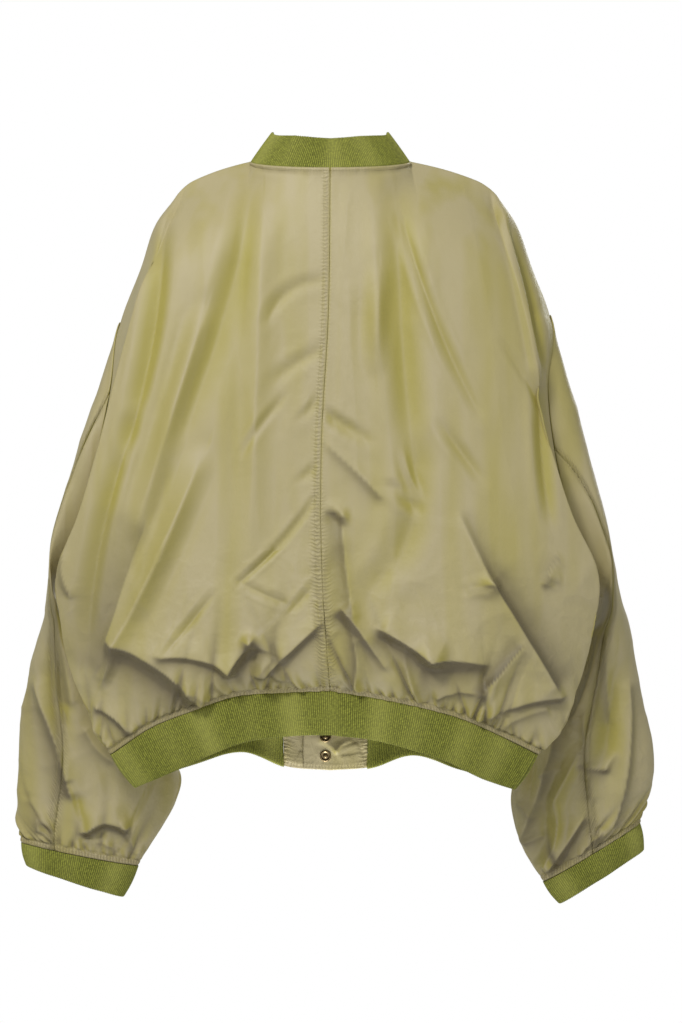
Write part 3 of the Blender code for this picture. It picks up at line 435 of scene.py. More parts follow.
def creased(creases, x, z):
    """Height of the creases at x, z."""
    lift = np.zeros_like(x)
    for crease in creases:
        inside, off, past = beside(crease, x, z)
        across = off / np.where(off < 0, crease.left, crease.right)
        far = np.hypot(across, past / (CREASE_END * (crease.left + crease.right)))
        soft = np.exp(-far ** 2)
        sharp = np.exp(-CRISP_FALL * (np.hypot(far, CRISP_ROUND) - CRISP_ROUND))
        lip = LIP * bell(far - LIP_PLACE, LIP_WIDTH) * np.where(across > 0, 1.0, LIP_LEFT)
        curve = np.sin(np.pi * (TAPER_START + (1 - 2 * TAPER_START) * inside)) ** TAPER_POWER
        taper = TAPER + (1 - TAPER) * curve
        lift += crease.rise * (soft + (sharp - soft) * crease.crisp - lip) * taper
    return lift


def folded(folds, x, z):
    """Height of the folds at x, z, and how much of them lies in the shade behind a crest."""
    lift, shade = np.zeros_like(x), np.zeros_like(x)
    for fold in folds:
        inside, off, past = beside(fold, x, z)
        front = fall(-off, fold.near, FOLD_NEAR_POWER)
        drop = fall(off, max(0.5 * fold.far, FOLD_DROP))
        hollow = fall(off, HOLLOW_REACH * fold.far, 2)
        profile = np.where(off < 0, front, (1 + HOLLOW) * drop - HOLLOW * hollow)
        ends = bell(past, FOLD_END * (fold.near + fold.far))
        strength = fold.rise * ends * (fold.start + (fold.end - fold.start) * inside)
        lift += strength * profile
        behind = fall(off, SHADE_REACH * fold.far) * smooth((off + SHADE_EDGE) / (2 * SHADE_EDGE))
        shade = np.maximum(shade, SHADE_RISE * strength * behind)
    return FOLD_RISE * lift, np.clip(shade, 0, 1)


WRINKLE_BEND = 0.35  # how far wrinkles bow, against their size
WRINKLE_SETS = 5  # sets of wrinkles that cross each other
WRINKLE_SUM = 2.2  # brings their sum to about -1 to 1
WRINKLE_SHARP = 0.8  # the lower, the sharper their crests
WRINKLE_STRETCH = (0.7, 1.5)
WRINKLE_PATCH = (0.25, 0.6)  # how closely they come and go
TURN = 6.28


def crumple(x, z, size, seed):
    """Small sharp-crested wrinkles that come and go, from -1 to 1."""
    rng = np.random.default_rng(seed)
    bend = WRINKLE_BEND * size
    bent_x = x + bend * np.sin(x / size * 1.7 + z / size * 0.9 + rng.uniform(0, 6))
    bent_z = z + bend * np.sin(z / size * 1.3 - x / size * 1.1 + rng.uniform(0, 6))
    lift = np.zeros_like(x)
    for _ in range(WRINKLE_SETS):
        angle, phase, stretch = rng.uniform(0, np.pi), rng.uniform(0, TURN), rng.uniform(*WRINKLE_STRETCH)
        run = (bent_x * math.cos(angle) + bent_z * math.sin(angle)) / (size * stretch)
        patch_x, patch_z = x / size * rng.uniform(*WRINKLE_PATCH), z / size * rng.uniform(*WRINKLE_PATCH)
        where = np.sin(patch_x + patch_z + rng.uniform(0, TURN))
        lift += (1 - 2 * np.abs(np.sin(run + phase)) ** WRINKLE_SHARP) * smooth(where)
    return lift / WRINKLE_SUM


ROLL_WIDTH = 7.0  # the rolled and stitched seam allowance along neck, hem and cuffs
ROLL_RISE = 1.5
ROLL_BUMPS = 0.35  # how uneven the roll is
ROLL_DENT = 0.7  # depth of the stitches in it,
ROLL_DENT_AT = 0.72  # at this share of its width
ROLL_GUTTER = 1.0  # depth and width of the gutter beside it
ROLL_GUTTER_WIDTH = 1.3
TUCK_SPACING = 12.0
TUCK_PLACES = (0.65, 1.5)  # how far that varies
TUCK_SHORT = (10, 26)  # lengths of the short tucks,
TUCK_SHORT_SHARE = 0.62  # which are this share of them,
TUCK_LONG = (28, 66)  # and of the long ones
TUCK_DEPTH = (0.8, 3.6)  # and 0.05 of the length more
TUCK_SLANT = 0.45
TUCK_WIDTH = (2.6, 4.2)
TUCK_SPREAD = 0.9  # how much wider a tuck is at its upper end
TUCK_RIDGES = ((1.9, 1.1, 0.5), (-2.1, 1.3, 0.3))  # place, width and height of the ridges beside it
TUCK_SHADE = 0.26  # shade in a tuck for each mm of its depth,
TUCK_DARKEST = 0.75  # up to this much


def gathered(along, up, seed):
    """Tucks that rise from a gathered seam: `along` runs on the seam, `up` away from it, in mm."""
    rng = np.random.default_rng(seed)
    low, high = float(along.min()), float(along.max())
    lift = np.zeros_like(along)
    place = low + rng.uniform(3, TUCK_SPACING)
    while place < high:
        length = rng.uniform(*TUCK_SHORT) if rng.random() < TUCK_SHORT_SHARE else rng.uniform(*TUCK_LONG)
        depth = rng.uniform(*TUCK_DEPTH) + 0.05 * length
        slant = rng.uniform(-TUCK_SLANT, TUCK_SLANT)
        width = rng.uniform(*TUCK_WIDTH) * (1 + TUCK_SPREAD * np.maximum(up, 0) / length)
        off = (along - place - slant * up) / width
        rise = depth * smooth(up / 5 + 0.35) * fall(up, length)
        lift -= rise * np.exp(-1.3 * np.abs(off) ** 1.25)
        for ridge, ridge_width, ridge_height in TUCK_RIDGES:
            lift += ridge_height * rise * bell(off - ridge, ridge_width)
        place += TUCK_SPACING * rng.uniform(*TUCK_PLACES)
    return lift


def rolled(distance, along, phase):
    """The rolled seam allowance along an edge, dented by its stitches."""
    across = np.clip(distance / ROLL_WIDTH, 0, 1)
    body = np.sqrt(np.clip(1 - (2 * across - 1) ** 2, 0, 1))
    wander = 1.6 * np.sin(along / 23.0 + phase) + 1.1 * np.sin(along / 7.1 + 2 * phase)
    coarse = np.sin(along / 2.9 + wander + phase) * np.sin(along / 9.7 + 3 * phase)
    roll = ROLL_RISE * (1 + ROLL_BUMPS * coarse) - ROLL_DENT * bell(across - ROLL_DENT_AT, 0.2)
    return roll * body - ROLL_GUTTER * bell(distance - ROLL_WIDTH - 0.8, ROLL_GUTTER_WIDTH)


def surface_normals(points, centre, closed=False):
    """Normals of a grid of points, each from the cells around it, facing away from the centre."""
    cell = np.cross(points[1:, 1:] - points[:-1, :-1], points[1:, :-1] - points[:-1, 1:])
    normal = np.zeros_like(points)
    for rows in (slice(None, -1), slice(1, None)):
        for cols in (slice(None, -1), slice(1, None)):
            normal[rows, cols] += cell
    if closed:
        normal[:, 0] += normal[:, -1]
        normal[:, -1] = normal[:, 0]
    normal = unit(normal)
    return normal if (normal * (points - centre)).sum() > 0 else -normal


def run_length(points, axis):
    """Distance run along a grid's rows or columns, from its first edge."""
    steps = np.linalg.norm(np.diff(points, axis=axis), axis=-1)
    start = np.zeros_like(np.take(steps, [0], axis=axis))
    return np.concatenate([start, np.cumsum(steps, axis=axis)], axis=axis)


def edge_runs(points):
    """Distances of a grid's points from its top, its lower edge, its first side and its last."""
    down, across = run_length(points, 0), run_length(points, 1)
    return down, down[-1] - down, across, across[:, -1:] - across


def cloth(name, points, normals, material, tone, thick=NYLON_THICK, closed=False, wrapped=False):
    """A grid of cloth laid through the points, with its thickness, its UV in metres and its tone.

    A closed grid is sewn into a tube across its columns.  A wrapped one has its last row joined
    to its first, so that it is a double layer, and its open ends are filled.
    """
    if wrapped:
        points, normals, tone = (np.concatenate([grid, grid[:1]]) for grid in (points, normals, tone))
    rows, cols = points.shape[:2]
    bm = bmesh.new()
    bmesh.ops.create_grid(bm, x_segments=cols - 1, y_segments=rows - 1, size=0.5)
    cell = bm.verts.layers.int.new("cell")
    for vert in bm.verts:
        vert[cell] = round((vert.co.y + 0.5) * (rows - 1)) * cols + round((vert.co.x + 0.5) * (cols - 1))
    mesh = meshed(name, bm)
    place = np.empty(len(mesh.vertices), dtype=np.int32)
    mesh.attributes["cell"].data.foreach_get("value", place)
    mesh.attributes.remove(mesh.attributes["cell"])
    mesh.vertices.foreach_set("co", (points.reshape(-1, 3)[place] * MM).astype(np.float32).ravel())
    loops = np.empty(len(mesh.loops), dtype=np.int32)
    mesh.loops.foreach_get("vertex_index", loops)
    uv = np.stack([run_length(points, axis).ravel()[place][loops] * MM for axis in (1, 0)], axis=-1)
    mesh.uv_layers.new(name="cloth").data.foreach_set("uv", uv.astype(np.float32).ravel())
    parts = tone.reshape(rows * cols, -1)[place].astype(np.float32)
    mesh.attributes.new("tone", "FLOAT_COLOR", "POINT").data.foreach_set("color", parts[:, :4].ravel())
    lively = mesh.attributes.new("lively", "FLOAT", "POINT")
    lively.data.foreach_set("value", parts[:, 4].copy())
    mesh.update()
    facing = np.empty(len(mesh.vertices) * 3, dtype=np.float32)
    mesh.vertices.foreach_get("normal", facing)
    if (facing.reshape(-1, 3) * normals.reshape(-1, 3)[place]).sum() < 0:
        mesh.flip_normals()
    if closed or wrapped:
        bm = bmesh.new()
        bm.from_mesh(mesh)
        bmesh.ops.remove_doubles(bm, verts=bm.verts[:], dist=WELD)
        if wrapped and not closed:
            bmesh.ops.holes_fill(bm, edges=[edge for edge in bm.edges if edge.is_boundary], sides=0)
        bm.to_mesh(mesh)
        bm.free()
    mesh.shade_smooth()
    piece = placed(name, mesh, material)
    if thick:
        wall = piece.modifiers.new("thickness", "SOLIDIFY")
        wall.thickness = thick * MM
        wall.offset = -1
    return piece


SHOT_SIDEWAYS = 1.5  # two-tone yellow, painted as sheen and shade where the cloth turns sideways from its smooth form,
SHOT_AWAY = 0.2  # where it faces away from the back or front,
GROOVE_SHADE = 0.09  # and painted shade, in yellow, for each mm that it lies in a groove
SHADE_DOWN = 0.7  # painted shade where it turns down


def tone_of(base_normals, points, centre, height, shade, down_seams, along_edges, lively):
    """The five values that colour and crumple the cloth at each point.

    How yellow it is, with painted sheen and shade where it turns sideways or away and painted
    shade in grooves; how much it turns down or lies in the shade of a fold or a tuck, which is
    painted as shade; how near it is to a seam that runs down it and to a stitched edge that runs
    across it, where the material paints shade too; and how crumpled it is.
    """
    turned = surface_normals(points, centre)
    across = unit(np.cross(base_normals, [0.0, 0.0, 1.0]))
    sideways = np.abs(((turned - base_normals) * across).sum(axis=-1))
    away = 1 - np.abs(turned[..., 1])
    shot_and_shade = SHOT_SIDEWAYS * sideways + SHOT_AWAY * away - GROOVE_SHADE * np.minimum(height, 0)
    downward = np.clip((base_normals - turned)[..., 2], 0, 1)
    painted_shade = np.clip(shade + SHADE_DOWN * downward, 0, 1)
    parts = (np.clip(shot_and_shade, 0, 1) * (1 - shade), painted_shade, down_seams, along_edges, lively)
    return np.stack([np.broadcast_to(part, height.shape) for part in parts], axis=-1)


def added(tree, kind, inputs, **settings):
    """Outputs of a new node, with its settings made and its inputs given values or links."""
    node = tree.nodes.new("ShaderNode" + kind)
    for name, value in settings.items():
        setattr(node, name, value)
    for socket, value in inputs.items():
        if isinstance(value, bpy.types.NodeSocket):
            tree.links.new(value, node.inputs[socket])
        else:
            node.inputs[socket].default_value = value
    return node.outputs


def mixed(tree, first, second, share):
    return added(tree, "Mix", {"A": first, "B": second, "Factor": share}, data_type="RGBA")["Result"]


def combined(tree, operation, first, second):
    return added(tree, "Math", {0: first, 1: second}, operation=operation)["Value"]


def ranged(tree, value, start, end, least, most):
    """A value carried from the range of start to end to that of least to most."""
    inputs = {"Value": value, "From Min": start, "From Max": end, "To Min": least, "To Max": most}
    return added(tree, "MapRange", inputs)["Result"]


def bands(tree, direction, pitch, distortion, detail=1.0, detail_scale=1.6):
    """Waves across (X) or down (Y) the cloth, this many mm apart."""
    uv = added(tree, "TexCoord", {})["UV"]
    inputs = {"Vector": uv, "Scale": math.pi / 10 / (pitch * MM), "Distortion": distortion,
              "Detail": detail, "Detail Scale": detail_scale}
    return added(tree, "TexWave", inputs, bands_direction=direction)["Fac"]


def noise(tree, scale, detail=2.0, stretch=(1, 1, 1)):
    """Cloudy noise, the lower the stretch the longer its clouds are that way."""
    place = added(tree, "TexCoord", {})["Object"]
    stretched = added(tree, "VectorMath", {0: place, 1: stretch}, operation="MULTIPLY")["Vector"]
    return added(tree, "TexNoise", {"Vector": stretched, "Scale": scale, "Detail": detail})["Fac"]


def bumped(tree, height, depth, strength, under=None):
    """A bump of a height map, this many mm deep, on top of another one."""
    inputs = {"Height": height, "Distance": depth * MM, "Strength": strength}
    if under is not None:
        inputs["Normal"] = under
    return added(tree, "Bump", inputs)["Normal"]


BEIGE = (0.455, 0.395, 0.225, 1)
# yellow of the two-tone weave, also used for its painted sheen and for painted shade in grooves
YELLOW = (0.385, 0.335, 0.085, 1)
# grey-brown painted shade: in deep creases, behind the crests of folds, in tucks and where the cloth turns
# down
PAINTED_SHADE_COLOUR = (0.145, 0.12, 0.065, 1)
# painted shade along the seams that run down and along the rolled edges, darkest in the valleys of the
# puckers and in the dents of the stitches
SEAM_SHADE_COLOUR = (0.16, 0.125, 0.065, 1)
SEAM_SHADE_STRENGTH = 0.55
PATCH_SCALE = 22.0  # soft yellow patches,
PATCH_STRETCH = (1, 1, 0.13)  # long down the cloth,
PATCH_RANGE = (0.44, 0.70, 0.0, 0.7)  # where the noise is high
PUCKER_PITCH = 4.6  # of the puckers along the seams that run down,
PUCKER_WANDER = 5.0  # how uneven they are,
PUCKER_DEPTH = 1.6
STITCH_PITCH = 4.0  # of the dents along the rolled edges
STITCH_WANDER = 2.5
STITCH_DEPTH = 0.9
# painted shade along the rolled edges, darkest in the stitch dents
STITCH_SHADE = 1.25
WEAVE_PITCH = 0.35
WEAVE_DEPTH = 0.03
CRINKLE_SCALE = 26.0
CRINKLE_DEPTH = -5.0
NYLON_BUMP = 0.8


def nylon_material():
    """Woven nylon, beige with a yellow cast where it turns away, painted as sheen and shade;
    grey-brown painted shade in deep creases and tucks, and painted shade along its seams and stitches.
    """
    made, tree, shader = painted("two-tone nylon", {
        "Roughness": 0.44, "Specular IOR Level": 0.42, "Sheen Weight": 0.12,
        "Sheen Roughness": 0.4, "Sheen Tint": (0.95, 0.9, 0.45, 1)})
    tone = added(tree, "Attribute", {}, attribute_name="tone")
    parts = added(tree, "SeparateColor", {"Color": tone["Color"]})
    patch = ranged(tree, noise(tree, PATCH_SCALE, stretch=PATCH_STRETCH), *PATCH_RANGE)
    # yellow: random patches, and painted sheen and shade from the tone's first value
    shot_and_shade = mixed(tree, BEIGE, YELLOW, combined(tree, "MAXIMUM", patch, parts["Red"]))
    # painted shade, mixed in by the tone's second value
    painted_shade = mixed(tree, shot_and_shade, PAINTED_SHADE_COLOUR, parts["Green"])
    pucker = bands(tree, "Y", PUCKER_PITCH, PUCKER_WANDER)
    dent = bands(tree, "X", STITCH_PITCH, STITCH_WANDER)
    # painted shade along seams and rolled edges, darkest in the pucker valleys and the stitch dents
    by_seam = combined(tree, "MULTIPLY", combined(tree, "SUBTRACT", 1.0, pucker), parts["Blue"])
    by_edge = combined(tree, "MULTIPLY", combined(tree, "SUBTRACT", STITCH_SHADE, dent), tone["Alpha"])
    shaded = combined(tree, "MULTIPLY", combined(tree, "MAXIMUM", by_seam, by_edge), SEAM_SHADE_STRENGTH)
    tree.links.new(mixed(tree, painted_shade, SEAM_SHADE_COLOUR, shaded), shader.inputs["Base Color"])

    lively = added(tree, "Attribute", {}, attribute_name="lively")["Fac"]
    cloud = combined(tree, "SUBTRACT", noise(tree, CRINKLE_SCALE, detail=3.0), 0.5)
    ridge = combined(tree, "ABSOLUTE", cloud, 0.0)
    warp, weft = (bands(tree, direction, WEAVE_PITCH, 0.0) for direction in "XY")
    normal = bumped(tree, combined(tree, "ADD", warp, weft), WEAVE_DEPTH, NYLON_BUMP)
    for height, mask, depth in ((ridge, lively, CRINKLE_DEPTH), (pucker, parts["Blue"], PUCKER_DEPTH),
                                (dent, tone["Alpha"], STITCH_DEPTH)):
        normal = bumped(tree, combined(tree, "MULTIPLY", height, mask), depth, NYLON_BUMP, normal)
    tree.links.new(normal, shader.inputs["Normal"])
    return made


nylon = nylon_material()
panels = {}  # smooth form of each panel, for the trims that are sewn to its edges
dressed = {}  # the same with its creases
facings = {}  # its outward normals


def sewn_piece(name, base, centre, height, *detail, rise=1.0):
    """A panel of the shell: its smooth form with its relief, as the cloth of its CAD node."""
    normals = surface_normals(base, centre)
    points = base + normals * (NYLON + rise * height)[..., None]
    panels[name], dressed[name], facings[name] = base, points, normals
    tone = tone_of(normals, points, centre, height, *detail)
    piece = cloth("nylon_" + name, points, normals, nylon, tone)
    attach(piece, "root")
    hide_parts(name)


# How a kind of panel is finished: height and size of its wrinkles and height of the finer ones;
# height, size and flattening of the slack that runs down it; its liveliness at the top, and the
# height from which and the run over which that grows to 1; seeds of the wrinkles, the slack and
# the tucks; and phases of its rolled edges at the hem or cuff and at the neck.
Finish = namedtuple("Finish", "wrinkle size fine slack slack_size flatten calm lively_z lively_run "
                              "seed slack_seed tuck_seed edge_phase neck_phase")
BACK = Finish(1.6, 26, 0.4, 0.9, 24, 0.3, 0.25, -400, 180, 11, 101, 5, 1.3, 0.4)
FINE_SIZE = 10.0
SIDE_FREE = 22.0  # creases start over this far from the side,
TOP_FREE = 26.0  # from the top,
EDGE_FREE = 12.0  # and from the rolled edge
MIDDLE_FREE = 14.0  # at the middle seam they keep MIDDLE_HELD of their height
MIDDLE_HELD = 0.3
MIDDLE_LIVELY = (0.35, 40.0)  # more crumpled beside the middle seam, over this width
SLACK_LOW = (-450, 150)  # the slack halves from this height down, over this run
PUCKERED = (-330, 200)  # and the middle seam puckers from this one, over this run
PUCKER_WRINKLE = 1.4  # height, size and width of the wrinkles beside it
PUCKER_SIZE = 9.0
PUCKER_WIDTH = 24.0
SEAM_STITCH = 7.6  # a line of stitches this far from the middle seam and the sleeve seams
BAND_WIDTH = 9.5  # seam allowance stitched down beside them
BAND_RISE = 0.3
BAND_DENT = 0.4
SEAM_SINK = 1.6  # the cloth sinks into a seam over this width
ROLL_EDGE = 6.0  # the stitched part of a rolled edge ends this far from it
BACK_U = shares(168, 6, 330)
BACK_V = shares(84, 8, 700, 0.27, 116)


def below(z, start, run):
    """0 above a height, growing to 1 over a run below it."""
    return smooth((start - z) / run)


def livened(finish, z):
    """How crumpled a panel is at a height."""
    return finish.calm + (1 - finish.calm) * below(z, finish.lively_z, finish.lively_run)


def wrinkled(finish, side, x, z):
    """Heights of a panel's wrinkles and of its slack."""
    coarse = finish.wrinkle * crumple(x, z, finish.size, finish.seed + side)
    fine = finish.fine * crumple(x, z, FINE_SIZE, finish.seed + 10 + side)
    slack = finish.slack * crumple(x, z * finish.flatten, finish.slack_size, finish.slack_seed + side)
    return coarse + fine, slack


def tucked(finish, side, across, to_edge):
    """Tucks of a gathered edge, clear of its roll."""
    tucks = gathered(across, to_edge - ROLL_WIDTH, finish.tuck_seed + side)
    return tucks * smooth((to_edge - 2) / 6)


def tuck_shade(tucks):
    """Shade in the tucks."""
    return np.clip(TUCK_SHADE * -tucks, 0, TUCK_DARKEST)


def stitched_band(distance, down):
    """The seam allowance beside a topstitched seam, dented by its stitches."""
    band = BAND_RISE * smooth((BAND_WIDTH - distance) / 2.5)
    return (band - BAND_DENT * bell(distance - SEAM_STITCH, 1.2)) * smooth(down / 8)


def sunk(*seams):
    """How far the cloth sinks beside its seams, from distances and depths."""
    return sum(depth * np.exp(-distance / SEAM_SINK) for distance, depth in seams)


def by_roll(distance, strength, reach):
    """Mask of the stitched part of a rolled edge."""
    return strength * np.exp(-np.maximum(distance - ROLL_EDGE, 0) / reach)


for side in (-1, 1):
    v, u = np.meshgrid(BACK_V, BACK_U, indexing="ij")
    base = back_panel(side, u, v)
    x, z = base[..., 0], base[..., 2]
    top, to_hem, middle, to_side = edge_runs(base)
    at_neck = u <= NECK_END
    free = smooth(to_side / SIDE_FREE) * smooth(top / TOP_FREE) * smooth(to_hem / EDGE_FREE)
    free = free * (MIDDLE_HELD + (1 - MIDDLE_HELD) * smooth(middle / MIDDLE_FREE))
    lively = livened(BACK, z) + MIDDLE_LIVELY[0] * bell(middle, MIDDLE_LIVELY[1])
    low = below(z, *PUCKERED)

    folds, shade = folded(BACK_FOLDS[side], x, z)
    wrinkles, slack = wrinkled(BACK, side, x, z)
    tucks = tucked(BACK, side, across=middle, to_edge=to_hem)
    puckers = PUCKER_WRINKLE * low * crumple(x * 1.6, z, PUCKER_SIZE, 91 + side)
    height = (CREASE_RISE * creased(BACK_CREASES[side], x, z) + folds) * free
    height += wrinkles * lively * free + slack * free * (1 - 0.5 * below(z, *SLACK_LOW)) + tucks
    height += rolled(to_hem, middle, BACK.edge_phase) * smooth(to_side / 6)
    height += 0.8 * rolled(top, middle, BACK.neck_phase) * at_neck * smooth(middle / 3 + 0.4)
    height += puckers * bell(middle, PUCKER_WIDTH) * smooth(middle / 4)
    height -= sunk((middle, 0.7), (to_side, 0.9), (top, 0.9))

    reach = 4 + 4 * low
    if side < 0:
        height += stitched_band(middle, top)
        seam = bell(middle - 5, reach)
    else:
        seam = (0.3 + 0.6 * low) * bell(middle, reach)
    seam = seam * smooth(top / 12) * (0.5 + 0.25 * low)
    edge = by_roll(to_hem, 0.7, 3) + by_roll(top, 0.15, 2) * at_neck
    lively = np.clip(lively * free + 0.5 * np.exp(-to_hem / 30), 0, 1)
    shade = np.maximum(shade * free, tuck_shade(tucks))
    sewn_piece(sided(side, "back"), base, base * [0, 0, 1], height, shade, seam, edge, lively)

# ----------------------------------------------------------------------
# The fronts: two plain panels of the same nylon, the left one lapping over the right.  Their
# front edges are turned in and stitched down flat; their lower edges are gathered like the back.
# ----------------------------------------------------------------------
HEM_FRONT = [
    Hem(0.00, -686, -686, -738, -738),
    Hem(0.20, -682, -682, -734, -734),
    Hem(0.42, -668, -670, -714, -718),
    Hem(0.70, -682, -684, -728, -734),
    Hem(1.00, -708, -708, -748, -750),
]
FRONT_CREASES = table(Crease, left=(
    (-110, -70, -150, -330, 5, -6, 20, 15, 0.1), (-150, -90, -176, -300, -4, 5, 13, 12, 0.3),
    (-205, -120, -232, -420, 6, -6, 10, 12, 0.3), (-70, -300, -104, -560, -6, 5, 14, 15, 0.3),
    (-180, -330, -240, -580, -5, 6, 11, 13, 0.4), (-250, -470, -200, -570, 4, -5, 8, 9, 0.5),
    (-230, -560, -120, -630, -9, -8, 10, 11, 0.5), (-120, -520, -86, -600, 3, -4, 7, 8, 0.6),
    (-275, -600, -205, -652, 5, -6, 9, 10, 0.5), (-100, -400, -150, -452, 2, -3, 6, 7, 0.7),
    (-140, -600, -96, -646, -3, -5, 7, 8, 0.6), (-180, -200, -140, -262, 3, -2.5, 6, 7, 0.7),
), right=(
    (120, -66, 158, -320, -6, -7, 17, 15, 0.1), (180, -110, 206, -300, 4, 5, 12, 13, 0.3),
    (214, -190, 246, -440, -6, 5, 10, 13, 0.3), (84, -360, 110, -590, 7, -6, 12, 14, 0.2),
    (160, -380, 236, -570, -8, -7, 9, 12, 0.5), (120, -250, 90, -330, 3, 3, 9, 9, 0.4),
    (250, -520, 150, -618, -8, -8, 10, 11, 0.5), (276, -610, 214, -664, 4, -6, 8, 9, 0.6),
    (96, -560, 140, -622, -4, -5, 7, 8, 0.6), (200, -250, 170, -312, -2, -3, 6, 7, 0.7),
    (130, -470, 96, -520, 2, -3, 6, 7, 0.7),
))
FRONT = Finish(1.4, 24, 0.7, 1.2, 17, 0.22, 0.3, -420, 180, 31, 121, 15, 2.1, 3.4)
FRONT_LAYER = {-1: 1.8, 1: -1.8}  # left front lies over the right one
LAYER_FULL = 52.0  # they lie fully apart up to this far from the middle,
LAYER_GONE = 84.0  # and in line from here
FACING_WIDTH = 24.0
FACING_RISE = 0.3
FACING_DENT = 0.5
FLAT_EDGE = 46.0  # the overlap stays flat up to here,
FLAT_FADE = 40.0  # and creases start over this width
FRONT_FLATNESS = 2.6  # the higher, the flatter the front before it rounds away
FRONT_ROUNDING = 0.62  # the lower, the tighter it does so
ARMHOLE_PULL = 9  # the higher, the closer to the armhole it is drawn into it
FRONT_U = shares(82, 4, 330)
FRONT_V = shares(80, 8, 700, 0.26, 66)


def front_panel(side, u, v):
    """Smooth form of a front, u from its front edge to the side and v from the top down."""
    tip_z = SHOULDER_TIP[side][2]
    z_side = tip_z + (HEM_SIDE_Z - tip_z) * v
    seam_x, seam_y = level(sided(side, "seam"), z_side), level("seam_y", z_side)
    across = -OVERLAP[side] + (seam_x + OVERLAP[side]) * u
    x = side * across
    share = np.abs(across) / seam_x
    rounded = np.clip(1 - share ** FRONT_FLATNESS, 0, 1) ** FRONT_ROUNDING
    y = seam_y + (level("front", z_side) - seam_y) * rounded
    y = y + armhole_half_depth(side, z_side) * share ** ARMHOLE_PULL
    top_x, top_y, top_z = top_row(side, u, True)
    hem_z = hem_height(HEM_FRONT, side, "seam", share)
    z = top_z + (hem_z - top_z) * v
    blend = shoulder_blend(u, v)
    x = top_x + (x - top_x) * blend
    y = top_y + (y - top_y) * blend
    layer = FRONT_LAYER[side] * (1 - smooth((np.abs(x) - LAYER_FULL) / (LAYER_GONE - LAYER_FULL)))
    return np.stack([x, y + layer, z], axis=-1)


for side in (-1, 1):
    v, u = np.meshgrid(FRONT_V, FRONT_U, indexing="ij")
    base = front_panel(side, u, v)
    x, z = base[..., 0], base[..., 2]
    top, to_hem, inward, to_side = edge_runs(base)
    at_neck = u <= NECK_END
    apart = smooth((np.abs(x) - FLAT_EDGE) / FLAT_FADE)
    free = smooth(to_side / SIDE_FREE) * smooth(top / TOP_FREE) * smooth(to_hem / EDGE_FREE)
    lively = livened(FRONT, z) * (0.15 + 0.85 * apart)

    wrinkles, slack = wrinkled(FRONT, side, x, z)
    height = (creased(FRONT_CREASES[side], x, z) + slack) * free * apart + wrinkles * free * lively
    height += tucked(FRONT, side, inward, to_hem) * apart
    height += rolled(to_hem, inward, FRONT.edge_phase) * smooth(to_side / 6) * (0.35 + 0.65 * apart)
    height += rolled(top, inward, FRONT.neck_phase) * at_neck * (0.35 + 0.45 * apart)
    height += FACING_RISE * smooth((FACING_WIDTH - inward) / 2)
    height -= FACING_DENT * bell(inward - FACING_WIDTH, 1.0) + sunk((to_side, 0.9), (top, 0.9))
    seam = 0.6 * np.exp(-np.abs(inward - FACING_WIDTH) / 3)
    edge = by_roll(to_hem, 0.7, 3) + by_roll(top, 0.15, 2) * at_neck
    lively = np.clip(lively * free, 0, 1)
    sewn_piece(sided(side, "front"), base, base * [0, 0, 1], height, 0.0, seam, edge, lively)

# ----------------------------------------------------------------------
# The sleeves: wide tubes of nylon set in low at the side, each in two parts, an outer part that
# runs down the back to a topstitched seam and an under part from there to the underarm seam.
# They hang forward, full at the elbow, and are gathered into the cuffs.
# ----------------------------------------------------------------------
# One row for each ring down a sleeve: its outer edge, its inner edge, how thick it is from front
# to back, and how far its back and its front are bowed sideways.
Ring = namedtuple("Ring", "ox oy oz ix iy iz thick back_bow front_bow")
SLEEVES = table(Ring, left=(
    (258, 6, -184, 308, 24, -489, 76, 0, 0), (277, 14, -243, 317, 28, -493, 90, 4, 0),
    (298, 25, -305, 324, 33, -497, 102, 6, -8), (318, 36, -368, 331, 39, -502, 116, 6, -18),
    (336, 46, -432, 336, 46, -509, 130, 5, -28), (348, 55, -498, 331, 63, -529, 134, 0, -34),
    (353, 56, -530, 314, 80, -549, 136, 0, -32), (356, 58, -548, 294, 95, -570, 138, 0, -28),
    (366, 62, -582, 272, 114, -624, 132, 0, -18), (377, 66, -618, 244, 124, -674, 120, 0, -8),
    (384, 70, -656, 212, 126, -716, 110, 0, 0), (389, 73, -698, 190, 120, -750, 98, 0, 0),
    (391, 76, -738, 196, 110, -782, 84, 0, 0), (392, 79, -776, 212, 102, -812, 72, 0, 0),
    (391, 81, -806, 229, 97, -838, 58, 0, 0), (386, 82, -830, 243, 92, -860, 44, 0, 0),
), right=(
    (271, 6, -175, 308, 24, -506, 76, 0, 0), (284, 14, -225, 317, 28, -510, 90, 4, 0),
    (302, 25, -288, 324, 33, -514, 102, 6, -8), (319, 36, -354, 331, 39, -519, 116, 6, -18),
    (337, 46, -420, 337, 46, -526, 130, 5, -28), (358, 54, -515, 329, 64, -549, 140, 0, -34),
    (370, 58, -553, 300, 94, -582, 140, 0, -28), (377, 62, -590, 282, 114, -638, 132, 0, -18),
    (384, 66, -625, 262, 124, -688, 120, 0, -8), (391, 70, -658, 241, 127, -735, 110, 0, 0),
    (401, 75, -698, 229, 122, -776, 98, 0, 0), (405, 82, -736, 233, 110, -812, 84, 0, 0),
    (402, 90, -764, 243, 103, -840, 72, 0, 0), (396, 97, -788, 255, 97, -862, 58, 0, 0),
    (388, 102, -808, 268, 92, -880, 44, 0, 0),
))
SEAM_UP = {-1: 0.4167, 1: 0.0}  # the topstitched seam, from the outer edge (1) to the inner (-1)
